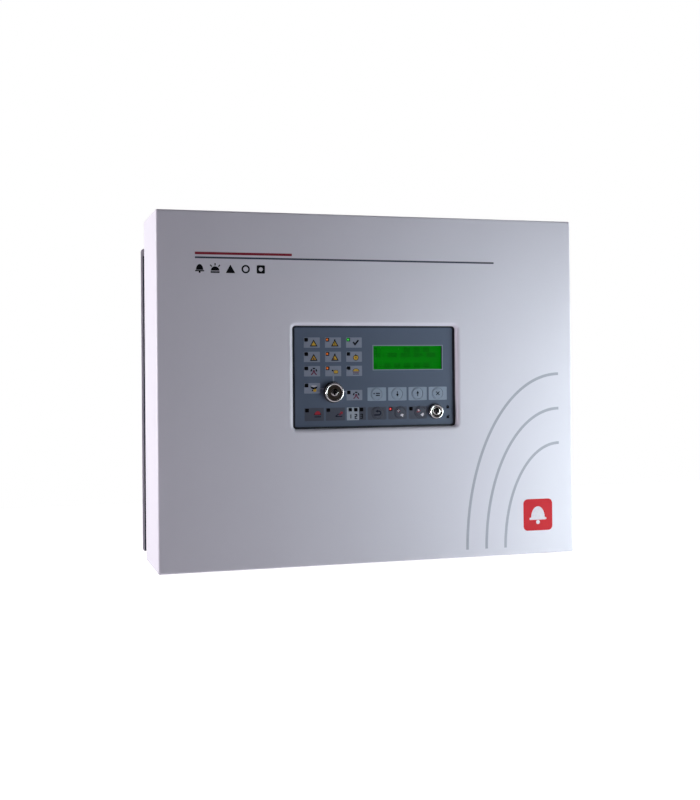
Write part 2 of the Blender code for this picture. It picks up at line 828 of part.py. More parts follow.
def keypad_board():
    """The control board behind the fascia, with its push switches soldered on, one under each key."""
    left, right, low, high = carrier_edges()
    obj = box(
        "keypad_board",
        (left + 13, BOARD_FRONT, low + 9),
        (right - 10, BOARD_BACK, high - 9),
        board_green(),
    )
    for name, x, z in key_places():
        bm = bmesh.new()
        add_box(bm, (x - 3, BOARD_FRONT - 1.4, z - 3), (x + 3, BOARD_FRONT + 0.8, z + 3))
        boolean(obj, cutter(f"add_switch_{name}", bm), "UNION")
    margin = 6.0
    cut_box(
        obj, "cut_display_board",
        (LCD_X - LCD_W / 2 - margin, BOARD_FRONT - 3, LCD_Z - LCD_H / 2 - margin),
        (LCD_X + LCD_W / 2 + margin, BOARD_BACK + 3, LCD_Z + LCD_H / 2 + margin),
    )
    cut_round(obj, "cut_switch_board", (SWITCH_X, BOARD_FRONT, SWITCH_Z), "Y", SWITCH_BARREL + 1.5, 12.0)
    cut_round(obj, "cut_lock_board", (LOCK_X, BOARD_FRONT, LOCK_Z), "Y", LOCK_BARREL + 1.5, 12.0)
    bm = bmesh.new()
    add_box(bm, (HEADER_X, BOARD_BACK - 0.8, HEADER_Z - 9), (HEADER_X + 8, BOARD_BACK + 9, HEADER_Z + 9))
    boolean(obj, cutter("add_header", bm), "UNION")
    return obj


def buzzer():
    turned("buzzer", [
        (0.0, 0.0),
        (8.0, 0.0),
        (8.0, 7.0),
        (7.2, 7.8),
        (1.6, 7.8),
        (1.6, 6.4),
        (0.0, 6.4),
    ], (-64.0, BOARD_BACK + GAP, 30.0), "Y", black_plastic(), 24)


def key_switch():
    """Three-position switch: proud bezel and barrel in one, nut and contact block behind, rotor inside."""
    proud = 4.6
    face = OVERLAY_FRONT - GAP
    front = face - proud
    rear = CARRIER_BACK + 14.0
    bore = SWITCH_BORE
    centre = (SWITCH_X, front, SWITCH_Z)
    turned("key_switch_body", [
        (bore, 1.2),
        (bore + 0.6, 1.0),
        (SWITCH_R - 2.2, 1.0),
        (SWITCH_R - 1.6, 0.0),
        (SWITCH_R - 0.7, 0.0),
        (SWITCH_R, 0.9),
        (SWITCH_R, proud),
        (SWITCH_BARREL, proud),
        (SWITCH_BARREL, rear - front),
        (bore, rear - front),
    ], centre, "Y", nickel(), 32)
    tail = rear - front + 1.5
    rotor = turned("key_switch_rotor", [
        (0.0, 0.6),
        (bore - 1.0, 0.6),
        (bore - 0.2, 1.2),
        (bore - 0.2, tail),
        (0.0, tail),
    ], centre, "Y", nickel(), 24)
    cut_box(
        rotor, "cut_switch_slot",
        (SWITCH_X - 0.9, front - 2, SWITCH_Z - 3.0),
        (SWITCH_X + 0.9, front + 6, SWITCH_Z + 3.0),
    )
    nut = CARRIER_BACK + GAP
    sleeve = tube(nut, nut + 3.2, SWITCH_BARREL + 0.15, 10.6)
    turned("key_switch_nut", sleeve, (SWITCH_X, 0, SWITCH_Z), "Y", zinc(), 24)
    block = rear + 2.1
    side = 9.5
    box(
        "key_switch_contacts",
        (SWITCH_X - side, block, SWITCH_Z - side),
        (SWITCH_X + side, block + 16, SWITCH_Z + side),
        black_plastic(), 1.0,
    )


def door_lock():
    """Cam lock: bezel and barrel in one, nut, and a plug that carries the cam at its rear end."""
    proud = 3.4
    front = OVERLAY_FRONT - GAP - proud
    rear = CAM_Y - GAP - 0.2
    bore = LOCK_BORE
    centre = (LOCK_X, front, LOCK_Z)
    turned("lock_body", [
        (bore, 0.9),
        (LOCK_R - 2.2, 0.9),
        (LOCK_R - 1.5, 0.0),
        (LOCK_R - 0.7, 0.0),
        (LOCK_R, 0.8),
        (LOCK_R, proud),
        (LOCK_BARREL, proud),
        (LOCK_BARREL, rear - front),
        (bore, rear - front),
    ], centre, "Y", nickel(), 28)
    tail = rear - front + 0.2
    plug = turned("lock_plug", [
        (0.0, 0.5),
        (bore - 0.9, 0.5),
        (bore - 0.2, 1.0),
        (bore - 0.2, tail),
        (0.0, tail),
    ], centre, "Y", nickel(), 20)
    cut_box(
        plug, "cut_lock_slot",
        (LOCK_X - 0.8, front - 2, LOCK_Z - 2.6),
        (LOCK_X + 0.8, front + 5, LOCK_Z + 2.6),
    )
    nut = CARRIER_BACK + GAP
    turned("lock_nut", tube(nut, nut + 3.0, LOCK_BARREL + 0.15, 8.6), (LOCK_X, 0, LOCK_Z), "Y", zinc(), 24)
    outline = arc((LOCK_X, LOCK_Z), CAM_HUB_R, 0, 180, 8)
    outline += arc((LOCK_X, LOCK_Z - CAM_REACH + CAM_TIP_R), CAM_TIP_R, 180, 360, 8)
    cam = prism([(x, CAM_Y, z) for x, z in outline], [(x, CAM_Y + CAM_T, z) for x, z in outline])
    make("lock_cam", cam, zinc(), origin=(LOCK_X, CAM_Y, LOCK_Z))
    turned("lock_cam_screw", rod(GAP, 2.8, 3.6), (LOCK_X, CAM_Y + CAM_T, LOCK_Z), "Y", zinc(), 16)


# Equipment in the tray

def main_board():
    left, right, low, high = MAIN_BOARD
    obj = box(
        "main_board",
        (left, MAIN_BOARD_BACK - BOARD_T, low),
        (right, MAIN_BOARD_BACK, high),
        board_green(),
    )
    for i, (x, z) in enumerate(standoff_places()):
        cut_round(obj, f"cut_board_{i}", (x, MAIN_BOARD_BACK, z), "Y", 1.7, 8.0, 12)
    return obj


def terminal_block(name, left, poles, pitch, top):
    """A row of screw terminals: a stepped housing with one wire mouth for each pole."""
    front = MAIN_BOARD_BACK - BOARD_T - GAP
    width = poles * pitch
    obj = box(name, (left, front - 15, top - 11), (left + width, front, top), terminal_green())
    mouths = []
    for i in range(poles):
        x = left + pitch * (i + 0.5)
        mouths.append(((x - 1.7, front - 8, top - 4), (x + 1.7, front - 3, top + 1)))
    cut_boxes(obj, f"cut_{name}", mouths)


def relays():
    front = MAIN_BOARD_BACK - BOARD_T - GAP
    for n, x in enumerate((-20.0, 8.0)):
        box(f"relay_{n + 1}", (x, front - 15.5, 78), (x + 19, front, 94), relay_blue(), 0.8)


def power_supply():
    """Switched supply at the right of the tray: a three-sided chassis, a vented lid and its transformer."""
    left, right, low, high = SUPPLY
    foot = FLOOR - GAP
    sheet = 1.2
    tall = 40.0
    make("supply_chassis", upright([
        (left, foot),
        (left, foot - tall),
        (left + sheet, foot - tall),
        (left + sheet, foot - sheet),
        (right - sheet, foot - sheet),
        (right - sheet, foot - tall),
        (right, foot - tall),
        (right, foot),
    ], low, high), zinc())
    lid = foot - tall - GAP
    obj = box("supply_lid", (left, lid - sheet, low), (right, lid, high), zinc())
    vents = []
    for i in range(6):
        x = left + 20 + 12 * i
        vents.append(((x - 2.2, lid - 4, low + 35), (x + 2.2, lid + 2, high - 12)))
    cut_boxes(obj, "cut_vents", vents)
    box("supply_board", (left + 4, foot - 8.6, low + 5), (right - 4, foot - 7, high - 5), board_green())
    box(
        "supply_transformer",
        (left + 30, foot - 34, low + 50),
        (left + 68, foot - 9, low + 84),
        material("transformer_tape", (0.75, 0.60, 0.08), 0.6), 1.5,
    )


def mains_terminal():
    foot = FLOOR - GAP
    return union_boxes("mains_terminal", [
        ((112, foot - 20, -36), (182, foot, -14)),
        ((112, foot - 27, -29.5), (158, foot - 19, -20.5)),
    ], material("terminal_beige", (0.62, 0.58, 0.47), 0.5))


def battery(tag):
    left = BATTERY_X[tag]
    width, deep, tall = BATTERY
    bottom = TRAY_BOTTOM + PLATE_SHEET + GAP
    back = FLOOR - GAP
    obj = box(
        f"battery_{tag}",
        (left, back - deep, bottom),
        (left + width, back, bottom + tall),
        battery_grey(), 1.5,
    )
    for n, x in enumerate((left + 14, left + width - 14)):
        bm = bmesh.new()
        add_box(bm, (x - 0.4, back - 14, bottom + tall - 1), (x + 0.4, back - 7.7, bottom + tall + 6))
        boolean(obj, cutter(f"add_tab_{tag}_{n}", bm), "UNION")
    return obj


def battery_bracket():
    """A folded retaining bar across both batteries, with a foot on the back plate at each end."""
    sheet = 1.5
    foot = FLOOR - GAP
    left = BATTERY_X["left"] - 1.0
    right = BATTERY_X["right"] + BATTERY[0] + 1.0
    bar = foot - BATTERY[1] - 1.0
    make("battery_bracket", upright([
        (left - 14, foot),
        (left - 14, foot - sheet),
        (left - sheet, foot - sheet),
        (left - sheet, bar - sheet),
        (right + sheet, bar - sheet),
        (right + sheet, foot - sheet),
        (right + 14, foot - sheet),
        (right + 14, foot),
        (right, foot),
        (right, bar),
        (left, bar),
        (left, foot),
    ], *BATTERY_BAR), zinc())


def earth_stud():
    turned("earth_stud", [
        (0.0, -24.0),
        (3.0, -24.0),
        (3.0, -7.8),
        (5.6, -7.8),
        (5.6, FLOOR - GAP),
        (3.0, FLOOR - GAP),
        (3.0, -GAP),
        (0.0, -GAP),
    ], (EARTH_X, 0, EARTH_Z), "Y", material("brass_stud", (0.75, 0.55, 0.22), 0.3, 1.0), 18)


def cable_grommets():
    """Closed rubber grommets in the knock-outs of the tray's upper wall."""
    for i, x in enumerate(grommet_places()):
        turned(f"cable_grommet_{i + 1}", [
            (0.0, 0.4),
            (5.0, 0.4),
            (7.5, 3.4),
            (12.0, 2.6),
            (12.0, GAP),
            (GROMMET_HOLE - GAP, GAP),
            (GROMMET_HOLE - GAP, -PLATE_SHEET - GAP),
            (12.0, -PLATE_SHEET - GAP),
            (12.0, -PLATE_SHEET - 2.2),
            (6.0, -PLATE_SHEET - 2.2),
            (5.0, -0.8),
            (0.0, -0.8),
        ], (x, GROMMET_Y, TRAY_TOP), "Z", rubber(), 20)


def loom_grommet():
    groove = LOOM_HOLE - GAP
    turned("loom_grommet", [
        (LOOM_R + GAP, -2.0),
        (7.0, -2.0),
        (7.0, -GAP),
        (groove, -GAP),
        (groove, PLATE_SHEET + GAP),
        (7.0, PLATE_SHEET + GAP),
        (7.0, PLATE_SHEET + 2.0),
        (LOOM_R + GAP, PLATE_SHEET + 2.0),
    ], (-TRAY_W / 2, HINGE_Y, LOOM_Z), "X", rubber(), 20)


def loom():
    """Ribbon loom in a round jacket: main board to keypad board, straight down the hinge axis between."""
    board = MAIN_BOARD[0]
    depth = MAIN_BOARD_BACK - BOARD_T - 5.5
    front = MAIN_BOARD_BACK - BOARD_T - GAP
    low = (board + 2, front - 9.5, LOOM_Z - 9)
    box("loom_plug", low, (board + 10, front, LOOM_Z + 9), white_plastic(), 0.5)
    cable("loom_tray_side", [
        (board + 2 - GAP, depth, LOOM_Z),
        (board - 12, depth, LOOM_Z),
        (-184.0, HINGE_Y, LOOM_Z),
        (-196.0, HINGE_Y, LOOM_Z),
        (-203.0, HINGE_Y, LOOM_Z),
        (-210.2, HINGE_Y, LOOM_Z),
        (-216.4, HINGE_Y, LOOM_Z - 3.0),
        (HINGE_X, HINGE_Y, LOOM_Z - 10.0),
        (HINGE_X, HINGE_Y, 14.0),
        (HINGE_X, HINGE_Y, GAP / 2),
    ], LOOM_R, loom_jacket())
    wall = -DOOR_W / 2 + DOOR_SHEET + LOOM_R + 1.5
    cable("loom_door_side", [
        (HINGE_X, HINGE_Y, -GAP / 2),
        (HINGE_X, HINGE_Y, -16.0),
        (HINGE_X, HINGE_Y - 2.0, -28.0),
        (HINGE_X, HINGE_Y - 11.0, -36.0),
        (wall, HINGE_Y - 28.0, -38.0),
        (wall, -70.0, -38.0),
        (wall + 4.0, -88.0, -36.0),
        (wall + 18.0, -96.0, -32.0),
        (-170.0, -97.0, -28.0),
        (-125.0, -96.0, -24.0),
        (-102.0, -91.0, HEADER_Z - 1),
        (HEADER_X - 11.0, -88.5, HEADER_Z),
        (HEADER_X - GAP, -88.5, HEADER_Z),
    ], LOOM_R, loom_jacket())


def hang_door():
    """Hangs all that is on the door from an empty on the hinge axis; the cam turns with the plug."""
    axis = bpy.data.objects.new("door_axis", None)
    axis.location = Vector((HINGE_X, HINGE_Y, 0.0)) * MM
    bpy.context.scene.collection.objects.link(axis)
    bpy.context.view_layer.update()
    for obj in bpy.data.objects:
        if obj.name.startswith(DOOR_NODES):
            attach(obj, axis)
    plug = bpy.data.objects["lock_plug"]
    attach(bpy.data.objects["lock_cam"], plug)
    attach(bpy.data.objects["lock_cam_screw"], plug)


def attach(obj, parent):
    world = obj.matrix_world.copy()
    obj.parent = parent
    obj.matrix_parent_inverse = parent.matrix_world.inverted()
    obj.matrix_world = world
    bpy.context.view_layer.update()


def build():
    clear_scene()
    back_box()
    edge_seal("left", -1)
    edge_seal("right", 1)
    hinge("upper")
    hinge("lower")
    striker_bracket()
    main_board()
    terminal_block("terminal_block_inputs", -132.0, 14, 5.0, 120.0)
    terminal_block("terminal_block_outputs", -52.0, 14, 5.0, 120.0)
    relays()
    power_supply()
    mains_terminal()
    battery("left")
    battery("right")
    battery_bracket()
    earth_stud()
    cable_grommets()
    loom_grommet()
    loom()
    front_door()
    fascia_carrier()
    fascia_overlay()
    display()
    light_guides()
    keypad_board()
    buzzer()
    key_switch()
    door_lock()
    keys()
    hang_door()


build()
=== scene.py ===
"""Looks of the wall-hung fire alarm control panel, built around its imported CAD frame.

Lengths are written in millimetres and scaled to metres when a mesh is made. +Z is up, the wall is the
plane y = 0, and the door faces -Y.
"""

import math
import random
from collections import defaultdict

import bmesh
import bpy
from mathutils import Matrix, Vector


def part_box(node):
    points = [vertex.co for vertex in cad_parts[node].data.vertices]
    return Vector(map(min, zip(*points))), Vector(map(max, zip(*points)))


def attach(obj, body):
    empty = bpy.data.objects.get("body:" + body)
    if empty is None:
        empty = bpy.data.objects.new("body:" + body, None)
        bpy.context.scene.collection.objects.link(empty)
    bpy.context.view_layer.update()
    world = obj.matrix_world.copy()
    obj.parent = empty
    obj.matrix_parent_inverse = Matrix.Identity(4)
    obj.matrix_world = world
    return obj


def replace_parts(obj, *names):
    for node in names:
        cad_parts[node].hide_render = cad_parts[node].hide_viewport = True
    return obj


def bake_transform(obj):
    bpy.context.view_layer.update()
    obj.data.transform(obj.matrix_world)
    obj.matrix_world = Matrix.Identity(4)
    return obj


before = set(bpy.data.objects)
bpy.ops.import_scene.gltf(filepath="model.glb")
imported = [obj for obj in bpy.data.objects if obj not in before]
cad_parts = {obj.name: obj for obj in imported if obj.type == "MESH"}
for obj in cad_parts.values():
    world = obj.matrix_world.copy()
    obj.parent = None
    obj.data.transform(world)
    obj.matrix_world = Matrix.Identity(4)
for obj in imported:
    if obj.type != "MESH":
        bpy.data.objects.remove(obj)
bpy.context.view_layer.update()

MM = 0.001

# Directions of turned parts: towards the viewer, and towards the wall
OUT = (0, -1, 0)
IN = (0, 1, 0)

BLACK = (0, 0, 0, 1)
WHITE = (1, 1, 1, 1)

# Sheets of the door and the back box, as in the CAD model
PLATE_SHEET = 1.5
DOOR_SHEET = 1.2
DOOR_BEND = 2
WINDOW_X = 2.1
WINDOW_Z = 12.65
WINDOW_W = 177.8
WINDOW_H = 105.7
WINDOW_CORNER = 3.5
WINDOW_ROLL = 4.5
WINDOW_DEPTH = 6.2
STUD_R = 1.5

# Keys, lock plugs and battery leads
LIGHT_KEYS = ("menu", "down", "up", "cancel")
DARK_KEYS = ("reset", "silence", "evacuate")
CAP_R = 5.6
KEY_HOLE_R = 5.9
KEY_RING_R = 6.1
PLUG_DEEP = 6.4
LEAD_R = 1.3

# Printed tiles on the fascia overlay
TILE_PITCH = 22.55
COLUMN_X = -65.8
ROW_Z = 48.2
ROW_PITCH = 14.7
BOTTOM_X = -63.9
BOTTOM_Z = -25.6
THIRD_X = BOTTOM_X + 2 * TILE_PITCH
MENU_X = 3.7
MENU_Z = -5.6
LEFT_TILE = (-65.8, 1.3)
RIGHT_TILE = (-20.7, -6.3)
SMALL_TILE = (17, 10.6)
MENU_TILE = (20.3, 14)
BOTTOM_TILE = (20.4, 13.3)
TILE_CORNER = 0.5
LED_DX = -6
LED_DZ = 2.9
BOTTOM_LED_DX = -7.6
BOTTOM_LED_DZ = 4.2
LED_SIDE = 3.2

# A print stands this far off its surface for each layer, and reaches this far below it
INK = 0.05
SINK = 0.02

# The bars of each character: top, centre and bottom, upper left q and right w, lower left a and right s,
# and the upper and lower dot of a colon
DIGITS = {"0": "tbqwas", "1": "ws", "2": "twcab", "3": "twcsb", "4": "qwcs", "5": "tqcsb", ":": "ud", " ": ""}

# Camera: place in metres, then yaw, pitch and roll in degrees, and its lens
CAMERA_PLACE = (-0.3715, -1.2787, 0.0131)
CAMERA_TURN = (16.79, 0.66, 0.55)
LENS = 53.3
LENS_SHIFT = (-0.01, -0.0466)

# Studio light by depth, from behind the viewer (0) to behind the panel (1): dark in front, bright beside it
WORLD_CURVE = ((0, 0.02), (0.4, 0.02), (0.485, 0.9), (0.58, 0.9), (0.8, 0.45), (1, 0.45))
WORLD_COLOUR = (1, 0.93, 1.045, 1)

# The floor is lit to a near white for the camera, without lighting the panel from below
FLOOR_GLOW = 0.82
FLOOR_REACH = 6000
FLOOR_Z = -0.75

# Printed graphics on the door
RULE_LEFT = -186.3
RED_RULE = (-87.4, 137.2, 2.5)
GREY_RULE = (134.4, 132.9, 1.8)
PICTOGRAM_Z = 122.5
MOTIF_CORNER = (208.8, -171.6)
MOTIF_REACH = (109.3, 187)
MOTIF_LINE = 3
SIGN = (183, -138)

# The material slot named for each finish, unless a piece names another; piece looks it up and does not use it
SLOTS = {
    "paint": "grey_white_paint", "zinc": "zinc_plated_steel", "nickel": "nickel_plate",
    "black": "black_plastic", "switch_face": "black_plastic", "rubber": "black_rubber",
    "tile": "slate_overlay_film", "dark_tile": "slate_overlay_film", "key_tile": "light_key_film",
    "lcd_dots": "display_green", "led_off": "clear_plastic", "clear": "clear_plastic",
    "terminal": "green_terminal_plastic", "beige": "terminal_beige", "white": "white_plastic",
    "jacket": "loom_jacket", "red_wire": "loom_jacket", "brass": "brass_stud",
}

# The finish of each CAD node that is shown as it is
DRESS = {
    "paint": ("back_box",),
    "rubber": ("edge_seal_left", "edge_seal_right", "loom_grommet"),
    "battery": ("battery_left", "battery_right"),
    "zinc": ("hinge_bracket_upper", "hinge_bracket_lower", "hinge_barrel_upper", "hinge_barrel_lower",
             "striker_bracket", "supply_chassis", "supply_lid", "battery_bracket", "lock_cam",
             "lock_cam_screw"),
    "board": ("main_board", "supply_board", "keypad_board", "lcd_board"),
    "carrier": ("fascia_carrier",),
    "film": ("fascia_overlay",),
    "window": ("lcd_window",),
    "lcd": ("lcd_glass",),
    "clear": ("light_guide_zones", "light_guide_outputs", "light_guide_silence", "light_guide_evacuate"),
    "black": ("lcd_bezel", "buzzer", "key_switch_contacts"),
    "terminal": ("terminal_block_inputs", "terminal_block_outputs"),
    "relay": ("relay_1", "relay_2"),
    "tape": ("supply_transformer",),
    "beige": ("mains_terminal",),
    "white": ("loom_plug",),
}


def mm_box(node):
    low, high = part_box(node)
    return low / MM, high / MM


def middle(node):
    low, high = mm_box(node)
    return (low + high) / 2


DOOR_LOW, DOOR_HIGH = mm_box("front_door")
DOOR_FRONT = DOOR_LOW.y
FILM = mm_box("fascia_overlay")[0].y
SWITCH = middle("key_switch_body")
LOCK = middle("lock_body")


# Meshes

def to_object(name, bm):
    """A linked object from a bmesh in millimetres."""
    bmesh.ops.recalc_face_normals(bm, faces=bm.faces)
    bmesh.ops.transform(bm, matrix=Matrix.Scale(MM, 4), verts=bm.verts)
    mesh = bpy.data.meshes.new(name)
    bm.to_mesh(mesh)
    bm.free()
    obj = bpy.data.objects.new(name, mesh)
    bpy.context.scene.collection.objects.link(obj)
    return obj


def piece(name, bm, finish, body="enclosure", slot=None, angle=35):
    """One visible piece in its finish's material, riding on a body; its slot is looked up but not used."""
    obj = to_object(name, bm)
    obj.data.materials.append(looks[finish])
    obj.data.shade_smooth()
    obj.data.set_sharp_from_angle(angle=math.radians(angle))
    if body:
        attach(obj, body)
    slot or SLOTS[finish]
    return obj


def pieces(prefix, parts, body="enclosure", **finishes):
    """One piece for each named bmesh of a group, in the finish given under its name."""
    for name, finish in finishes.items():
        piece(f"{prefix}_{name}", parts[name], finish, body)


def join_rings(bm, rings, closed=False):
    """Faces between rings of as many vertices each, and from the last ring to the first if closed."""
    for first, second in zip(rings, rings[1:] + rings[:1] if closed else rings[1:]):
        for i in range(len(first)):
            j = (i + 1) % len(first)
            corners = list(dict.fromkeys((first[i], first[j], second[j], second[i])))
            if len(corners) > 2:
                bm.faces.new(corners)


def add_prism(bm, outline, y_near, y_far):
    """A flat shape in X and Z, given a thickness along Y."""
    loops = [[bm.verts.new(p) for p in at_depth(outline, y)] for y in (y_near, y_far)]
    join_rings(bm, loops)
    for loop in loops:
        bm.faces.new(loop)


def add_box(bm, low, high, edge=0, steps=2):
    size = Vector(high) - Vector(low)
    centre = (Vector(high) + Vector(low)) / 2
    matrix = Matrix.Translation(centre) @ Matrix.Diagonal((*size, 1))
    made = bmesh.ops.create_cube(bm, size=1, matrix=matrix)
    if edge:
        edges = list({e for v in made["verts"] for e in v.link_edges})
        bmesh.ops.bevel(bm, geom=edges, offset=edge, segments=steps, affect="EDGES", profile=0.5)


def add_turned(bm, profile, centre, direction, steps=48):
    """A turned body: profile is (radius, height) pairs, from axis to axis or round a closed section."""
    turn = Vector((0, 0, 1)).rotation_difference(Vector(direction)).to_matrix().to_4x4()
    place = Matrix.Translation(Vector(centre)) @ turn
    rings = []
    for radius, height in profile:
        if radius == 0:
            rings.append([bm.verts.new(place @ Vector((0, 0, height)))] * steps)
        else:
            spots = disc(0, 0, radius, steps)
            rings.append([bm.verts.new(place @ Vector((x, y, height))) for x, y in spots])
    join_rings(bm, rings, profile[0][0] != 0)


def turned(profile, centre, direction, steps=48):
    """A bmesh of one turned body."""
    bm = bmesh.new()
    add_turned(bm, profile, centre, direction, steps)
    return bm


def ring_section(inner, outer, low, high):
    """The section of a plain ring, or of a solid cylinder where inner is 0."""
    return [(inner, low), (outer, low), (outer, high), (inner, high)]


def smooth_path(points, steps):
    """Points on a Catmull-Rom curve through the route's own points."""
    route = [2 * points[0] - points[1], *points, 2 * points[-1] - points[-2]]
    path = []
    for a, b, c, d in zip(route, route[1:], route[2:], route[3:]):
        for i in range(steps):
            t = i / steps
            bend = (2 * a - 5 * b + 4 * c - d) * t * t + (3 * b - a - 3 * c + d) * t ** 3
            path.append(0.5 * (2 * b + (c - a) * t + bend))
    path.append(points[-1])
    return path


def add_tube(bm, points, radius, sides=12, steps=8):
    """A round tube along a smooth route, with flat ends."""
    path = smooth_path([Vector(p) for p in points], steps)
    side = (path[1] - path[0]).orthogonal().normalized()
    rings = []
    for i, place in enumerate(path):
        along = (path[min(i + 1, len(path) - 1)] - path[max(i - 1, 0)]).normalized()
        side = (side - along * side.dot(along)).normalized()
        up = along.cross(side)
        ring = []
        for k in range(sides):
            a = 2 * math.pi * k / sides
            ring.append(bm.verts.new(place + radius * (math.cos(a) * side + math.sin(a) * up)))
        rings.append(ring)
    join_rings(bm, rings)
    bm.faces.new(rings[0])
    bm.faces.new(rings[-1])


# Flat outlines in X and Z

def at_depth(outline, y):
    return [(x, y, z) for x, z in outline]


def arc(x, z, radius, start, end, steps=12):
    points = []
    for i in range(steps + 1):
        a = math.radians(start + (end - start) * i / steps)
        points.append((x + radius * math.cos(a), z + radius * math.sin(a)))
    return points


def disc(x, z, radius, steps=28):
    return arc(x, z, radius, 0, 360 - 360 / steps, steps - 1)


def rect(x, z, width, height, tilt=0):
    c = math.cos(math.radians(tilt))
    s = math.sin(math.radians(tilt))
    corners = []
    for u, v in ((-0.5, -0.5), (0.5, -0.5), (0.5, 0.5), (-0.5, 0.5)):
        corners.append((x + u * width * c - v * height * s, z + u * width * s + v * height * c))
    return corners


def rounded_rect(x, z, width, height, corner, steps=4):
    points = []
    half_w = width / 2 - corner
    half_h = height / 2 - corner
    for sx, sz, start in ((1, 1, 0), (-1, 1, 90), (-1, -1, 180), (1, -1, 270)):
        points += arc(x + sx * half_w, z + sz * half_h, corner, start, start + 90, steps)
    return points


def band(x, z, inner, outer, start, end, steps=16):
    """Part of a ring."""
    return arc(x, z, outer, start, end, steps) + arc(x, z, inner, end, start, steps)


def triangle(x, z, half, height):
    return [(x - half, z - height / 2), (x + half, z - height / 2), (x, z + height / 2)]


def dome(x, z, radius, squash=1):
    return [(px, z + (pz - z) * squash) for px, pz in arc(x, z, radius, 0, 180, 14)]


def tick(x, z):
    shape = ((-3.4, 0.6), (-2.1, 1.6), (-0.8, -0.2), (2.2, 3.4), (3.7, 2.4), (-0.8, -3))
    return [(x + dx, z + dz) for dx, dz in shape]


def left_head(x, z, length, half):
    """An arrowhead that points to the left."""
    return [(x, z - half), (x, z + half), (x - length, z)]


def bell(x, z, size, tilt):
    """The outline of a small plain bell, leaning by tilt degrees."""
    turn = Matrix.Rotation(math.radians(tilt), 2)
    right = [(1, -0.9), (0.72, -0.45), (0.58, 0.35), (0.3, 0.85)]
    left = [(-px, pz) for px, pz in right[::-1]]
    spots = [turn @ (Vector(p) * size) for p in left[3:] + right + left[:3]]
    return [(x + p.x, z + p.y) for p in spots]


def ellipse_band(x, z, wide, tall, thick, steps=48):
    """A quarter of an ellipse drawn as a line, opening down and to the right."""
    outer = []
    inner = []
    for i in range(steps + 1):
        a = math.radians(90 + 90 * i / steps)
        outer.append((x + wide * math.cos(a), z + tall * math.sin(a)))
        inner.append((x + (wide - thick) * math.cos(a), z + (tall - thick) * math.sin(a)))
    return outer + inner[::-1]


# Materials

def feed(tree, node, inputs):
    """Gives each named input a value, or links it to the output that is named for it."""
    for key, value in inputs.items():
        if isinstance(value, bpy.types.NodeSocket):
            tree.links.new(value, node.inputs[key])
        else:
            node.inputs[key].default_value = value


def add_node(tree, kind, inputs, **settings):
    node = tree.nodes.new(f"ShaderNode{kind}")
    for key, value in settings.items():
        setattr(node, key, value)
    feed(tree, node, inputs)
    return node


def object_place(tree):
    return add_node(tree, "TexCoord", {}).outputs["Object"]


def noise(tree, place, scale, detail):
    return add_node(tree, "TexNoise", {"Vector": place, "Scale": scale, "Detail": detail}).outputs["Fac"]


def look(name, colour, rough, metal=0, vary=0.08, grain=60, bump=0, fine=1500, shine=0.5, **sockets):
    """A procedural finish: slow colour drift, a fine speckle in roughness, and a fine relief."""
    mat = bpy.data.materials.new(name)
    mat.use_nodes = True
    tree = mat.node_tree
    shader = tree.nodes["Principled BSDF"]
    feed(tree, shader, {"Metallic": metal, "Specular IOR Level": shine})
    feed(tree, shader, {key.replace("_", " "): value for key, value in sockets.items()})
    place = object_place(tree)
    slow = noise(tree, place, grain, 4)
    quick = noise(tree, place, fine, 3)
    drift = add_node(tree, "MapRange", {"Value": slow, "From Min": 0.3, "From Max": 0.7})
    mix = add_node(tree, "Mix", {
        "Factor": drift.outputs["Result"],
        "A": (*[c * (1 - vary) for c in colour], 1),
        "B": (*[min(1, c * (1 + vary)) for c in colour], 1),
    }, data_type="RGBA")
    speckle = add_node(tree, "MapRange", {
        "Value": quick, "From Min": 0.25, "From Max": 0.75,
        "To Min": max(0.02, rough * 0.88), "To Max": min(1, rough * 1.12),
    })
    feed(tree, shader, {"Base Color": mix.outputs["Result"], "Roughness": speckle.outputs["Result"]})
    if bump:
        relief = add_node(tree, "Bump", {"Strength": bump, "Distance": 0.0001, "Height": quick})
        feed(tree, shader, {"Normal": relief.outputs["Normal"]})
    return mat


def brushed(name, colour, rough, stretch):
    """Bare or plated metal with fine lines drawn out along one axis."""
    mat = look(name, colour, rough, 1, 0.1, 35, 0, 900)
    tree = mat.node_tree
    drawn = add_node(tree, "Mapping", {"Vector": object_place(tree), "Scale": stretch})
    lines = noise(tree, drawn.outputs["Vector"], 1, 4)
    relief = add_node(tree, "Bump", {"Strength": 0.25, "Distance": 0.00005, "Height": lines})
    feed(tree, tree.nodes["Principled BSDF"], {"Normal": relief.outputs["Normal"]})
    return mat


def lamp_look(name, dark, bright, strength):
    """A dark body that gives off its own light."""
    return look(name, dark, 0.25, 0, 0.1, 400, shine=0.15,
                Emission_Color=(*bright, 1), Emission_Strength=strength)


def print_look(name, colour, vary=0.04):
    return look(name, colour, 0.42, 0, vary, 40, 0.22, 3200)


def ink_look(name, colour, vary=0.1, grain=400, rough=0.45, shine=0.5):
    return look(name, colour, rough, 0, vary, grain, 0.1, 3000, shine)


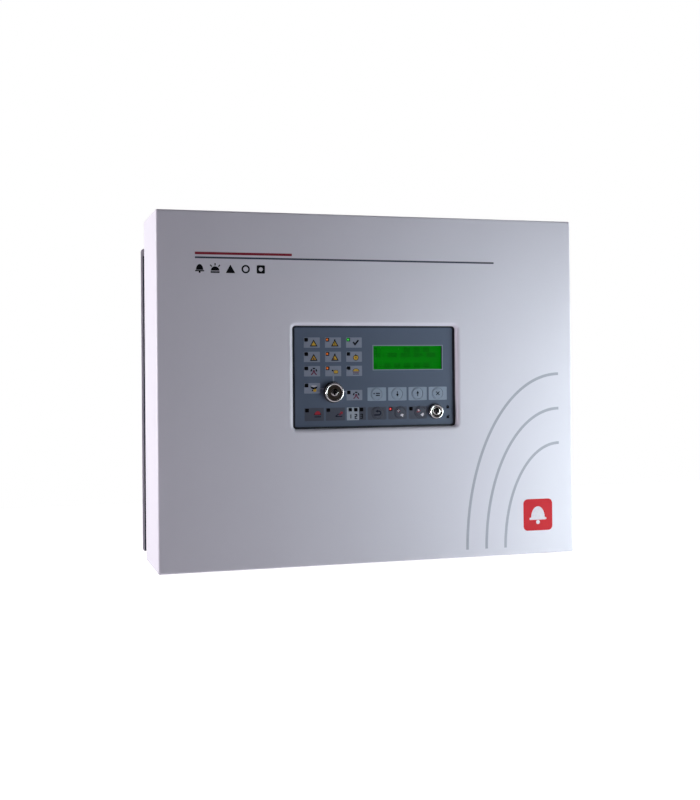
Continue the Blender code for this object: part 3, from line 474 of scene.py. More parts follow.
def board_look(name, colour, track):
    """Solder mask with lighter copper tracks showing through it."""
    mat = look(name, colour, 0.32, 0, 0.12, 30, 0.15, 2500, Coat_Weight=0.4)
    tree = mat.node_tree
    shader = tree.nodes["Principled BSDF"]
    place = object_place(tree)
    upright = add_node(tree, "Mapping", {"Vector": place, "Rotation": (math.radians(90), 0, 0)})
    tracks = add_node(tree, "TexBrick", {
        "Vector": upright.outputs["Vector"], "Scale": 90, "Mortar Size": 0.018, "Mortar Smooth": 0.2,
        "Brick Width": 0.9, "Row Height": 0.22, "Color1": BLACK, "Color2": BLACK, "Mortar": WHITE,
    })
    patches = noise(tree, place, 45, 2)
    gate = add_node(tree, "MapRange", {"Value": patches, "From Min": 0.5, "From Max": 0.54})
    both = add_node(tree, "Math", {
        0: tracks.outputs["Color"], 1: gate.outputs["Result"],
    }, operation="MULTIPLY")
    base = shader.inputs["Base Color"].links[0].from_socket
    mix = add_node(tree, "Mix", {
        "Factor": both.outputs["Value"], "A": base, "B": (*track, 1),
    }, data_type="RGBA")
    feed(tree, shader, {"Base Color": mix.outputs["Result"]})
    return mat


def make_looks():
    """Colour, roughness, metal, colour drift, grain, relief, fine grain and shine of each finish."""
    return {
        "paint": look("powder_coat", (0.74, 0.718, 0.79), 0.36, 0, 0.02, 6, 0.3, 1400),
        "zinc": brushed("zinc_plate", (0.66, 0.67, 0.7), 0.34, (300, 300, 2500)),
        "nickel": look("nickel", (0.88, 0.86, 0.83), 0.14, 1, 0.03, 150, 0.04, 2500),
        "black": look("black_plastic_moulded", (0.02, 0.02, 0.024), 0.45, 0, 0.15, 80, 0.4, 2200),
        "switch_face": look("switch_face_black", (0.03, 0.02, 0.014), 0.45, 0, 0.3, 900, 0.3, 1500, 0.2),
        "rubber": look("foam_rubber", (0.005, 0.008, 0.018), 0.9, 0, 0.3, 600, 0.9, 1100, 0),
        # The carrier is near-black so the gap round the film shows a dark border: partly a dark edge of its
        # own, partly painted shade of the window's recess.
        "carrier": look("carrier_black_painted_shade", (0.01, 0.014, 0.024), 0.5, 0, 0.15, 80, 0.4, 1600),
        "film": look("overlay_film", (0.094, 0.12, 0.176), 0.46, 0, 0.035, 14, 0.22, 3200, 0.3),
        "tile": print_look("light_tile_print", (0.225, 0.25, 0.325)),
        "key_tile": print_look("menu_key_print", (0.255, 0.31, 0.395), 0.03),
        "bright_tile": print_look("bright_tile_print", (0.34, 0.375, 0.44)),
        "dark_tile": print_look("dark_tile_print", (0.058, 0.064, 0.092), 0.05),
        "board": board_look("solder_mask", (0.014, 0.12, 0.045), (0.05, 0.24, 0.1)),
        "terminal": look("terminal_plastic", (0.03, 0.27, 0.11), 0.42, 0, 0.06, 60, 0.2, 1800),
        "clear": look("clear_guide", (0.72, 0.76, 0.78), 0.12, 0, 0.03, 60, 0, 900, Alpha=0.45),
        "window": look("display_window", (0.02, 0.04, 0.03), 0.06, 0, 0.02, 20, 0, 900, Alpha=0.05),
        "battery": look("battery_case", (0.085, 0.09, 0.098), 0.5, 0, 0.1, 30, 0.5, 1300),
        "jacket": look("cable_jacket", (0.035, 0.035, 0.042), 0.5, 0, 0.12, 120, 0.5, 1500),
        "white": look("white_nylon", (0.76, 0.75, 0.7), 0.45, 0, 0.04, 60, 0.2, 1500),
        "relay": look("relay_case", (0.02, 0.075, 0.26), 0.3, 0, 0.08, 50, 0.15, 1500),
        "tape": look("winding_tape", (0.72, 0.5, 0.05), 0.4, 0, 0.1, 90, 0.5, 600),
        "beige": look("terminal_beige", (0.6, 0.55, 0.43), 0.5, 0, 0.05, 60, 0.2, 1500),
        "brass": brushed("brass", (0.78, 0.57, 0.24), 0.28, (600, 600, 2500)),
        "copper": brushed("copper_winding", (0.75, 0.32, 0.14), 0.35, (300, 300, 4000)),
        "red_wire": look("red_wire", (0.45, 0.012, 0.01), 0.4, 0, 0.08, 120, 0.2, 1500),
        "yellow": ink_look("yellow_ink", (0.58, 0.34, 0.03), 0.15, 500),
        "red": ink_look("red_ink", (0.36, 0.01, 0.03)),
        "dark_red": ink_look("dark_red_ink", (0.115, 0.012, 0.04)),
        "ink": ink_look("black_ink", (0.004, 0.004, 0.006), 0.15, 400, 0.5, 0.1),
        "navy": ink_look("navy_ink", (0.01, 0.011, 0.026), 0.15, 400, 0.5, 0.1),
        "pale": ink_look("pale_ink", (0.7, 0.66, 0.72), 0.06),
        "rule_red": ink_look("rule_red_ink", (0.26, 0.01, 0.028), 0.08, 100),
        "rule_grey": ink_look("rule_grey_ink", (0.045, 0.05, 0.078), 0.08, 100),
        "motif": look("motif_grey_ink", (0.4, 0.405, 0.47), 0.42, 0, 0.03, 60, 0.3, 1400),
        "sign": look("sign_red_ink", (0.6, 0.006, 0.016), 0.5, 0, 0.04, 60, 0.2, 1400, 0.2),
        "lcd": lamp_look("display_green_lit", (0.001, 0.03, 0.001), (0, 1, 0.01), 0.15),
        "lcd_dots": lamp_look("display_dots", (0.001, 0.015, 0.001), (0, 1, 0.01), 0.03),
        "led_off": look("lamp_off", (0.003, 0.003, 0.004), 0.22, 0, 0.2, 400, 0, 900, 0.12),
        "led_orange": lamp_look("lamp_orange", (0.05, 0.012, 0.004), (1, 0.17, 0.03), 0.3),
        "led_orange_core": lamp_look("lamp_orange_core", (0.05, 0.012, 0.004), (1, 0.25, 0.04), 0.85),
        "led_green": lamp_look("lamp_green", (0.004, 0.05, 0.008), (0.02, 1, 0.06), 0.16),
        "led_green_core": lamp_look("lamp_green_core", (0.05, 0.4, 0.08), (0.16, 1, 0.2), 0.95),
        "led_red": lamp_look("lamp_red", (0.1, 0.004, 0.006), (1, 0.006, 0.01), 0.5),
        "led_red_core": lamp_look("lamp_red_core", (0.5, 0.1, 0.1), (1, 0.2, 0.18), 0.8),
    }


# Door

def front_door():
    """The folded door with finer bends, and a narrow flat beside each bend to keep its shading even."""
    steps = 8
    flat = 0.7
    chamfer = 0.25
    size = DOOR_HIGH - DOOR_LOW
    mid = (DOOR_HIGH + DOOR_LOW) / 2
    rear = DOOR_HIGH.y
    bend_start = DOOR_FRONT + DOOR_BEND
    bend = DOOR_BEND - DOOR_SHEET
    roll_end = DOOR_FRONT + WINDOW_ROLL
    roll = WINDOW_ROLL - DOOR_SHEET
    back = DOOR_FRONT + DOOR_SHEET
    window_rear = DOOR_FRONT + WINDOW_DEPTH
    angles = [math.radians(90 * i / steps) for i in range(steps + 1)]
    bm = bmesh.new()
    rings = []

    def shell(inset, corner, y):
        outline = rounded_rect(mid.x, mid.z, size.x - 2 * inset, size.z - 2 * inset, corner, steps)
        rings.append([bm.verts.new(p) for p in at_depth(outline, y)])

    def window(grow, y):
        wide = WINDOW_W + 2 * grow
        tall = WINDOW_H + 2 * grow
        outline = rounded_rect(WINDOW_X, WINDOW_Z, wide, tall, WINDOW_CORNER + grow, steps)
        rings.append([bm.verts.new(p) for p in at_depth(outline, y)])

    # Over the outer face from the rear edge to the end of the window's roll
    shell(chamfer, DOOR_BEND, rear)
    shell(0, DOOR_BEND, rear - chamfer)
    shell(0, DOOR_BEND, bend_start + flat)
    for a in angles:
        shell(DOOR_BEND * (1 - math.cos(a)), DOOR_BEND, bend_start - DOOR_BEND * math.sin(a))
    shell(DOOR_BEND + flat, DOOR_BEND, DOOR_FRONT)
    window(WINDOW_ROLL + flat, DOOR_FRONT)
    for a in angles:
        window(WINDOW_ROLL * (1 - math.sin(a)), roll_end - WINDOW_ROLL * math.cos(a))
    window(0, window_rear - 0.2)
    window(0.2, window_rear)
    # Back to the rear edge over the inner face
    window(DOOR_SHEET, window_rear)
    for a in angles[::-1]:
        window(WINDOW_ROLL - roll * math.sin(a), roll_end - roll * math.cos(a))
    window(WINDOW_ROLL + flat, back)
    shell(DOOR_BEND + flat, bend, back)
    for a in angles[::-1]:
        shell(DOOR_BEND - bend * math.cos(a), bend, bend_start - bend * math.sin(a))
    shell(DOOR_SHEET, bend, bend_start + flat)
    shell(DOOR_SHEET, bend, rear - chamfer)
    shell(DOOR_SHEET - chamfer, bend, rear)
    join_rings(bm, rings, True)
    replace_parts(piece("door_shell", bm, "paint", "door"), "front_door")


def carrier_fixings():
    """Weld studs through the carrier's corners, each with a washer and a hexagon nut."""
    low, high = mm_box("fascia_carrier")
    inset = 4
    bore = STUD_R + 0.1
    stud = [(0, 0), (STUD_R, 0), (STUD_R, 12.4), (STUD_R - 0.4, 12.8), (0, 12.8)]
    washer = ring_section(bore, 3.5, 0, 0.5)
    studs = bmesh.new()
    nuts = bmesh.new()
    for x in (low.x + inset, high.x - inset):
        for z in (low.z + inset, high.z - inset):
            add_turned(studs, stud, (x, DOOR_FRONT + DOOR_SHEET, z), IN, 24)
            add_turned(nuts, washer, (x, high.y + 0.1, z), IN, 32)
            add_hexagon(nuts, (x, high.y + 0.6, z), bore, 2.75, 2.4)
    piece("carrier_studs", studs, "zinc", "door")
    piece("carrier_nuts", nuts, "zinc", "door", angle=20)


def add_hexagon(bm, centre, bore, flat_r, thick):
    """A hexagon nut with its corners turned off, its axis along Y."""
    corner = flat_r / math.cos(math.radians(30))
    profile = [(bore, 0), (flat_r * 0.98, 0), (corner, 0.35), (corner, thick - 0.35),
               (flat_r * 0.98, thick), (bore, thick)]
    add_turned(bm, profile, centre, IN, 6)


# Prints

prints = {}


def ink(colour, outline, layer=1, body="door", surface=None, slot="slate_overlay_film"):
    """Adds a flat printed shape on a surface facing -Y, over the layers below it."""
    face = FILM if surface is None else surface
    bm = prints.setdefault((body, colour, slot), bmesh.new())
    add_prism(bm, outline, face - INK * layer, face - INK * (layer - 1) + SINK)


def draw(rows, x, z, **where):
    """Prints rows of colour, layer, shape, offset in X and Z, and sizes, round one point."""
    for colour, layer, shape, dx, dz, *sizes in rows:
        ink(colour, shape(x + dx, z + dz, *sizes), layer, **where)


def finish_prints():
    for (body, colour, slot), bm in prints.items():
        piece(f"print_{body}_{colour}_{slot}", bm, colour, body, slot, 30)


def indicator_tiles():
    tiles = []
    for row in range(3):
        for column in range(3):
            tiles.append((COLUMN_X + column * TILE_PITCH, ROW_Z - row * ROW_PITCH))
    return tiles + [LEFT_TILE, RIGHT_TILE]


def tile_with_hole(bm, centre, size, hole):
    """A flat tile with a round hole for its key, as two matched loops."""
    steps = 48
    outer = []
    inner = []
    for i in range(steps):
        a = 2 * math.pi * (i + 0.5) / steps
        dx = math.cos(a)
        dz = math.sin(a)
        reach = min(
            (size[0] / 2 - math.copysign(1, dx) * (hole.x - centre[0])) / max(abs(dx), 1e-6),
            (size[1] / 2 - math.copysign(1, dz) * (hole.z - centre[1])) / max(abs(dz), 1e-6),
        )
        outer.append((hole.x + reach * dx, hole.z + reach * dz))
        inner.append((hole.x + KEY_HOLE_R * dx, hole.z + KEY_HOLE_R * dz))
    front = FILM - INK
    back = FILM + SINK
    loops = ((outer, front), (inner, front), (inner, back), (outer, back))
    join_rings(bm, [[bm.verts.new(p) for p in at_depth(loop, y)] for loop, y in loops], True)


def tiles():
    for x, z in indicator_tiles():
        ink("tile", rounded_rect(x, z, *SMALL_TILE, TILE_CORNER))
    for label, finish, names, x, z, size in (
        ("menu", "key_tile", LIGHT_KEYS, MENU_X, MENU_Z, MENU_TILE),
        ("sounder", "dark_tile", DARK_KEYS, BOTTOM_X + 3 * TILE_PITCH, BOTTOM_Z, BOTTOM_TILE),
    ):
        bm = bmesh.new()
        for n, name in enumerate(names):
            tile_with_hole(bm, (x + n * TILE_PITCH, z), size, middle(f"key_{name}"))
        piece(f"{label}_key_tiles", bm, finish, "door")
    for n in range(3):
        ink("dark_tile", rounded_rect(BOTTOM_X + n * TILE_PITCH, BOTTOM_Z, *BOTTOM_TILE, TILE_CORNER))
    ink("bright_tile", rounded_rect(THIRD_X - 3.7, BOTTOM_Z, 13.1, 13.3, TILE_CORNER), 2)
    for x, digit in ((THIRD_X - 6.9, "1"), (THIRD_X - 0.5, "2"), (THIRD_X + 5.7, "3")):
        for bar in digit_bars(digit, x, BOTTOM_Z - 2.7, 1.9, 4.2, 1):
            ink("ink", bar, 3)


def digit_bars(digit, x, z, width, height, thick):
    """The bars of a plain seven-bar digit, or the two dots of a colon."""
    half_w = width / 2
    half_h = height / 2
    quarter = half_h / 2
    bars = {
        "t": rect(x, z + half_h, width + thick, thick),
        "c": rect(x, z, width + thick, thick),
        "b": rect(x, z - half_h, width + thick, thick),
        "q": rect(x - half_w, z + quarter, thick, half_h),
        "w": rect(x + half_w, z + quarter, thick, half_h),
        "a": rect(x - half_w, z - quarter, thick, half_h),
        "s": rect(x + half_w, z - quarter, thick, half_h),
        "u": rect(x, z + quarter, thick, thick),
        "d": rect(x, z - quarter, thick, thick),
    }
    return [bars[letter] for letter in DIGITS[digit]]


def indicator_symbols():
    """Plain signs on the eleven indicator tiles, in the tiles' own order."""
    warning = (("ink", 2, triangle, 0, 0, 4.1, 7.2), ("yellow", 3, triangle, 0, -0.45, 2.45, 4.2))
    knob = ("ink", 4, disc, 0, 3, 0.8)
    sounder = (
        *(("ink", 2, band, 0, 0.5, 2.1, 3.5, start, start + 52) for start in (-10, 62, 134)),
        ("dark_red", 2, disc, 0, 0.4, 1.3),
        *(("dark_red", 2, rect, side * 1.7, -2.1, 1.3, 3.4, side * 42) for side in (-1, 1)),
    )
    symbols = (
        warning,
        (*warning, knob, ("ink", 4, rect, 0, -0.4, 0.6, 1.8), ("ink", 4, disc, 0, -1.8, 0.38)),
        (("ink", 2, tick, 0, 0),),
        (*warning, ("dark_red", 4, rect, 0, -1.5, 1.5, 1.9)),
        (*warning, knob, ("dark_red", 4, rect, -1.2, -1.7, 1.6, 1, 30)),
        (("ink", 3, triangle, 0, 2.3, 1, 2.6), ("ink", 2, disc, 0, -0.6, 3),
         ("yellow", 3, disc, 0, -0.6, 2.45), ("ink", 4, disc, 0, -0.6, 0.6)),
        sounder,
        (("ink", 2, disc, -2.6, 1, 0.9), ("ink", 2, rect, -0.4, 0.4, 3.6, 0.6),
         ("ink", 2, rounded_rect, 0.9, -0.4, 4.9, 3.7, 1.2),
         ("yellow", 3, rounded_rect, 0.9, -0.4, 4.1, 2.9, 1)),
        (("ink", 2, dome, 0, -0.3, 3.7, 0.9), ("yellow", 3, dome, 0, 0, 3, 0.85),
         ("dark_red", 2, rect, 0, -1.5, 6.6, 0.7), ("navy", 2, rect, 0, -2.9, 6.6, 0.6)),
        (("ink", 2, band, 0, 3.3, 2.2, 4, 200, 340), ("pale", 3, rect, 0, 2.6, 5.4, 1),
         ("ink", 2, triangle, -1.6, -1.6, 1, 1.8), ("yellow", 2, disc, 0.9, -1.7, 1.7)),
        sounder,
    )
    for (x, z), rows in zip(indicator_tiles(), symbols):
        draw(rows, x + 1.9, z - 0.4)


def bottom_symbols():
    x = BOTTOM_X + 3.6
    z = BOTTOM_Z + 0.5
    draw((
        ("ink", 2, dome, 0, -1.2, 3.8), ("red", 3, dome, 0, -0.7, 3.2, 1.1), ("navy", 2, rect, 0, -3, 7, 0.9),
    ), x, z)
    draw((
        ("navy", 2, rect, -1.8, -1.6, 4.6, 0.9, 35), ("navy", 2, rect, 0.4, -3, 6.6, 0.9),
        ("dark_red", 3, rect, 1.4, -0.8, 2.6, 2.4, 20), ("red", 4, rect, 3, 0.8, 2.4, 2.2),
    ), x + TILE_PITCH, z)


def guide_lines():
    """Thin lines that join the key switch to the tiles above it and beside it."""
    top = ROW_Z - 2 * ROW_PITCH - SMALL_TILE[1] / 2
    for x, z, width, height in (
        (SWITCH.x, (top + SWITCH.z + 10) / 2, 1.5, top - SWITCH.z - 10),
        (-55.5, SWITCH.z + 4, 4.4, 1.5),
        (-31.4, SWITCH.z + 0.6, 4.6, 1.5),
    ):
        ink("tile", rect(x, z, width, height))


def padlock_signs():
    """A closed padlock above and an open one below, beside the lock."""
    for z, lift in ((-19.9, 0), (-30.3, 0.7)):
        x = LOCK.x + 13.6
        ink("ink", rounded_rect(x, z - 0.7, 3, 2.5, 0.4))
        ink("ink", band(x + lift, z + 0.4, 0.55, 1.3, 0, 180, 10))


def key_symbols():
    front = mm_box("key_menu")[0].y - SINK
    bells = (("dark_red", 1, bell, -2.1, 1.9, 2, 40), ("pale", 2, bell, -2.2, 2, 1.15, 40),
             ("pale", 1, bell, 2.2, -2.3, 1.9, -35))
    for name, rows in (
        ("menu", (("ink", 1, disc, -3.1, 0.6, 0.8), ("ink", 1, rect, 1, 0.75, 4.4, 1.15),
                  ("ink", 1, rect, 1, -1.3, 4.4, 1.15))),
        ("down", (("ink", 1, rect, 0, 0.9, 0.85, 3.6), ("ink", 1, triangle, 0, -1.55, 1.55, -2.7))),
        ("up", (("ink", 1, rect, 0, -0.9, 0.85, 3.6), ("ink", 1, triangle, 0, 1.55, 1.55, 2.7))),
        ("cancel", [("ink", 1, rect, 0, 0, 5.2, 0.85, tilt) for tilt in (45, -45)]),
        ("reset", (("navy", 1, band, 1.3, 0, 1.25, 2.65, -90, 90), ("navy", 1, rect, -1.2, -1.95, 5.2, 1.4),
                   ("navy", 1, rect, 0.7, 1.95, 1.6, 1.4), ("navy", 1, left_head, 0.1, 1.95, 2.7, 1.65))),
        ("silence", bells),
        ("evacuate", bells),
        ("silence", (("ink", 3, rect, -2, 1.9, 4.6, 0.55, -45), ("ink", 3, rect, 2.6, -1, 1.7, 0.9, -35))),
        ("evacuate", (("red", 3, rect, -2.6, 0.6, 3.6, 0.6, 12),)),
    ):
        key = middle(f"key_{name}")
        draw(rows, key.x, key.z, body=f"{name}_key", surface=front)


def keys():
    """Key caps with softly rolled edges, and the embossed ring round each one in the film."""
    rings = {"key_tile": bmesh.new(), "dark_tile": bmesh.new()}
    angles = [math.radians(20 * k) for k in range(-1, 11)]
    section = [(KEY_RING_R + 0.42 * math.cos(a), -0.62 * math.sin(a)) for a in angles]
    for name in LIGHT_KEYS + DARK_KEYS:
        low, high = mm_box(f"key_{name}")
        key = (low + high) / 2
        finish = "key_tile" if name in LIGHT_KEYS else "dark_tile"
        deep = high.y - low.y
        cap = turned([
            (0, 0), (4.6, 0), (5.1, 0.03), (5.45, 0.14), (CAP_R, 0.35), (CAP_R, deep - 1.6),
            (6.8, deep - 1.6), (6.8, deep - 0.8), (1.6, deep - 0.8), (1.6, deep), (0, deep),
        ], (key.x, low.y, key.z), IN, 64)
        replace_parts(piece(f"{name}_key_cap", cap, finish, f"{name}_key"), f"key_{name}")
        add_turned(rings[finish], section, (key.x, FILM, key.z), IN, 64)
    piece("key_rings_light", rings["key_tile"], "key_tile", "door", angle=60)
    piece("key_rings_dark", rings["dark_tile"], "dark_tile", "door", angle=60)


def lamps():
    """Square lamp lenses over the light guides; the lit ones glow from a spot behind the lens."""
    z = BOTTOM_Z + BOTTOM_LED_DZ
    places = [(x + LED_DX, tz + LED_DZ) for x, tz in indicator_tiles()]
    places += [(BOTTOM_X + BOTTOM_LED_DX + n * TILE_PITCH, z) for n in (0, 1)]
    places += [(THIRD_X + dx, z) for dx in (-6.6, -0.5, 5.6)]
    places += [(BOTTOM_X + BOTTOM_LED_DX + n * TILE_PITCH, z) for n in (4, 5)]
    lit = {1: "led_orange", 4: "led_orange", 7: "led_orange", 2: "led_green", 16: "led_red"}
    frames = bmesh.new()
    glow = defaultdict(bmesh.new)
    for n, (x, lz) in enumerate(places):
        outline = rounded_rect(x, lz, LED_SIDE + 0.5, LED_SIDE + 0.5, 0.5)
        add_prism(frames, outline, FILM - 0.22, FILM + SINK)
        if n in lit:
            wide = 1.75 if lit[n] == "led_green" else 1.25
            spot = [(0, 0.22), (wide * 0.6, 0.2), (wide * 0.9, 0.1), (wide, 0), (0, 0)]
            add_turned(glow[lit[n]], spot, (x - 0.45, FILM - 0.2, lz + 0.1), OUT, 32)
            core = [(0, 0.06), (0.5, 0.03), (0.6, 0), (0, 0)]
            add_turned(glow[f"{lit[n]}_core"], core, (x - 0.45, FILM - 0.4, lz + 0.1), OUT, 24)
    piece("lamp_lenses", frames, "led_off", "door", angle=30)
    for name, bm in glow.items():
        piece(f"lamp_{name}", bm, name, "door", "clear_plastic", 60)


# Display

def display():
    """Dark characters on the lit glass, and the thin pale edge of its window."""
    low, high = mm_box("lcd_window")
    glass_front = mm_box("lcd_glass")[0].y
    columns = 20
    pitch = (high.x - low.x - 4) / columns
    rows = ("01       00:00:00", "001 002 003 004 005", "", "01:00 02:00 03:00")
    row_pitch = (high.z - low.z - 2.6) / len(rows)
    bm = bmesh.new()
    for row, text in enumerate(rows):
        z = high.z - 1.3 - row_pitch * (row + 0.5)
        for column, mark in enumerate(text):
            x = low.x + 2 + pitch * (column + 0.5)
            for bar in digit_bars(mark, x, z, pitch * 0.55, row_pitch * 0.62, 0.62):
                add_prism(bm, bar, glass_front - INK, glass_front + SINK)
    piece("display_characters", bm, "lcd_dots", "door", angle=30)
    rim = bmesh.new()
    wide = 0.9
    loops = []
    for grow, y in ((wide, FILM - INK), (0, FILM - INK), (0, FILM + SINK), (wide, FILM + SINK)):
        mid = (low + high) / 2
        outline = rect(mid.x, mid.z, high.x - low.x + 2 * grow, high.z - low.z + 2 * grow)
        loops.append([rim.verts.new(p) for p in at_depth(outline, y)])
    join_rings(rim, loops, True)
    piece("display_rim", rim, "tile", "door")


# Key switch and lock

def key_switch():
    low, high = mm_box("key_switch_body")
    length = high.y - low.y
    centre = (SWITCH.x, low.y, SWITCH.z)
    bezel = turned([
        (7.7, 1.3), (7.7, 0.9), (8, 0.35), (8.5, 0.05), (9, 0), (9.5, 0.15), (9.85, 0.5),
        (10, 1), (10, 4.6), (8, 4.6), (8, length), (6.4, length), (6.4, 2.4), (7.7, 2.4),
    ], centre, IN, 96)
    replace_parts(piece("key_switch_bezel", bezel, "nickel", "door"), "key_switch_body")
    face = turned([
        (4.15, 1), (4.6, 0.75), (5, 0.95), (6.6, 1.15), (7.2, 0.95), (7.65, 1.25),
        (7.65, 2.3), (4.15, 2.3),
    ], centre, IN, 96)
    piece("key_switch_face", face, "switch_face", "door")
    washer = [(8.4, 0), (10.9, 0), (10.9, 0.5), (10.4, 0.9), (8.4, 0.9)]
    piece("key_switch_washer", turned(washer, (SWITCH.x, FILM + SINK, SWITCH.z), OUT, 96), "black", "door")
    add_plug("key_switch_plug", centre, 3.95, "switch_rotor", "key_switch_rotor", 0)
    add_shaft("key_switch_shaft", centre, 3.9, "switch_rotor", "key_switch_rotor")


def add_plug(name, centre, radius, body, node, tilt):
    """A lock plug: a turned face with a real keyway cut into it."""
    bm = turned([
        (0, 0.55), (radius - 0.9, 0.55), (radius - 0.35, 0.7), (radius, 1.1),
        (radius, PLUG_DEEP), (0, PLUG_DEEP),
    ], centre, IN, 64)
    plug = piece(name, bm, "nickel", body)
    width = 0.8
    tall = radius - 0.9
    outline = [
        (-width, -tall), (width, -tall), (width, -tall * 0.3), (width * 2, -tall * 0.12),
        (width * 2, tall * 0.22), (width, tall * 0.4), (width, tall), (-width, tall),
    ]
    turn = Matrix.Rotation(math.radians(tilt), 2)
    spots = [turn @ Vector(p) for p in outline]
    x, y, z = centre
    tool = bmesh.new()
    add_prism(tool, [(x + p.x, z + p.y) for p in spots], y - 1, y + 5.2)
    cut_with(plug, tool, name)
    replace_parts(plug, node)
    keyway = bmesh.new()
    add_prism(keyway, [(x + p.x * 0.97, z + p.y * 0.97) for p in spots], y + 2.6, y + 5)
    piece(f"{name}_wards", keyway, "led_off", body, "black_plastic")


def cut_with(obj, tool_bm, name):
    """Subtracts a closed shape from a piece and applies the cut."""
    tool = to_object(f"{name}_tool", tool_bm)
    step = obj.modifiers.new("cut", "BOOLEAN")
    step.operation = "DIFFERENCE"
    step.solver = "EXACT"
    step.object = tool
    bpy.context.view_layer.update()
    graph = bpy.context.evaluated_depsgraph_get()
    cut = bpy.data.meshes.new_from_object(obj.evaluated_get(graph))
    obj.modifiers.remove(step)
    obj.data = cut
    bpy.data.objects.remove(tool, do_unlink=True)
    cut.shade_smooth()
    cut.set_sharp_from_angle(angle=math.radians(30))


def add_shaft(name, centre, radius, body, node):
    """The round rear of a lock plug, as long as its CAD solid."""
    start = PLUG_DEEP + 0.1
    tail = mm_box(node)[1].y - centre[1]
    shaft = turned(ring_section(0, radius, start, tail), centre, IN)
    piece(name, shaft, "nickel", body)


def door_lock():
    low, high = mm_box("lock_body")
    length = high.y - low.y
    centre = (LOCK.x, low.y, LOCK.z)
    bezel = turned([
        (5.4, 1.9), (5.4, 0.8), (5.7, 0.3), (6.2, 0.03), (6.6, 0), (7.1, 0.15), (7.45, 0.5), (7.6, 1),
        (7.6, 3.4), (6, 3.4), (6, length), (4.3, length), (4.3, 1.9),
    ], centre, IN, 80)
    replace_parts(piece("lock_bezel", bezel, "nickel", "door"), "lock_body")
    ring = turned([(4.35, 1.5), (5.3, 1.7), (5.3, 1.88), (4.35, 1.88)], centre, IN, 64)
    piece("lock_gap_ring", ring, "switch_face", "door")
    washer = [(6.4, 0), (8.25, 0), (8.25, 0.35), (7.9, 0.6), (6.4, 0.6)]
    piece("lock_washer", turned(washer, (LOCK.x, FILM + SINK, LOCK.z), OUT, 80), "black", "door")
    add_plug("lock_plug_face", centre, 4.1, "lock", "lock_plug", -14)
    add_shaft("lock_shaft", centre, 4, "lock", "lock_plug")


def panel_nuts():
    """Hexagon panel nuts behind the carrier, in place of the plain rings."""
    for node, bore, flat_r in (("key_switch_nut", 8.15, 10.4), ("lock_nut", 6.15, 8.4)):
        low, high = mm_box(node)
        centre = (low + high) / 2
        bm = bmesh.new()
        add_hexagon(bm, (centre.x, low.y, centre.z), bore, flat_r * 0.87, high.y - low.y)
        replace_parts(piece(f"{node}_hexagon", bm, "zinc", "door", angle=20), node)


# Graphics on the door

def door_graphics():
    where = {"surface": DOOR_FRONT, "slot": "grey_white_paint"}
    for colour, (right, z, thick) in (("rule_red", RED_RULE), ("rule_grey", GREY_RULE)):
        ink(colour, rect((RULE_LEFT + right) / 2, z, right - RULE_LEFT, thick), **where)
    wide, tall = MOTIF_REACH
    for share in (1, 0.8, 0.6):
        ink("motif", ellipse_band(*MOTIF_CORNER, wide * share, tall * share, MOTIF_LINE), **where)
    draw((
        ("sign", 1, rounded_rect, 0, 0, 34, 34, 5, 8), ("pale", 2, dome, 0, -3, 8, 1.5),
        ("pale", 2, rounded_rect, 0, -4.2, 20, 2.5, 1.2), ("pale", 2, disc, 0, -8, 2.2),
    ), *SIGN, **where)
    pictograms(where)


def pictograms(where):
    """A row of plain dark signs under the rules: a bell, a lamp, a triangle, a ring and a square."""
    rays = [(tilt, math.radians(90 + tilt)) for tilt in (-40, 0, 40)]
    signs = (
        (("ink", 1, dome, 0, -2, 3.6, 1.6), ("ink", 1, rect, 0, -2.9, 9, 1.2), ("ink", 1, disc, 0, -4.2, 1)),
        (("ink", 1, dome, 0, -2.6, 4.3), ("ink", 1, rect, 0, -4, 9, 1.7),
         *(("ink", 1, rect, 6.4 * math.cos(a), 6.4 * math.sin(a) - 2.6, 1.2, 2.4, tilt) for tilt, a in rays)),
        (("ink", 1, triangle, 0, -0.5, 4.8, 8.6),),
        [("ink", 1, band, 0, -0.6, 2.6, 4.3, start, start + 180, 20) for start in (0, 180)],
        (("ink", 1, rounded_rect, 0, -0.6, 8.4, 8.4, 1), ("pale", 2, disc, 0, -0.6, 2.1)),
    )
    for n, rows in enumerate(signs):
        draw(rows, RULE_LEFT + 4.6 + 15.5 * n, PICTOGRAM_Z, **where)


# Inside the tray

def add_screw(bm, centre, radius, height=1.6):
    """A pan-head screw with a dished recess, facing -Y."""
    add_turned(bm, [
        (0, -0.2), (radius, -0.2), (radius, height * 0.4), (radius * 0.85, height * 0.8),
        (radius * 0.55, height), (radius * 0.5, height * 0.75), (0, height * 0.45),
    ], centre, OUT, 32)


def add_chip(parts, x, z, width, height, face, way):
    """A packaged circuit on a board's face, with its legs. way is -1 or +1 along Y."""
    y = sorted((face + way * 0.2, face + way * 2.6))
    add_box(parts["chips"], (x - width / 2, y[0], z - height / 2), (x + width / 2, y[1], z + height / 2), 0.3)
    count = max(2, int(width / 1.6))
    leg = sorted((face - way * 0.1, face + way * 1))
    for i in range(count):
        px = x - width / 2 + (i + 0.5) * width / count
        for side in (-1, 1):
            edge = z + side * height / 2
            ends = sorted((edge - side * 0.1, edge + side * 1.1))
            add_box(parts["pins"], (px - 0.25, leg[0], ends[0]), (px + 0.25, leg[1], ends[1]))


def add_capacitor(parts, x, z, radius, height, face):
    """A capacitor's can and its bare top, standing on a board's face."""
    add_turned(parts["capacitors"], [
        (0, 0), (radius - 0.2, 0), (radius, 0.3), (radius, 1.2), (radius - 0.35, 1.6), (radius, 2),
        (radius, height - 0.5), (radius - 0.5, height), (0, height),
    ], (x, face, z), OUT, 40)
    add_turned(parts["capacitor_tops"], [
        (0, height - 0.1), (radius - 0.7, height - 0.1),
        (radius - 0.9, height + 0.12), (0, height + 0.12),
    ], (x, face, z), OUT, 40)


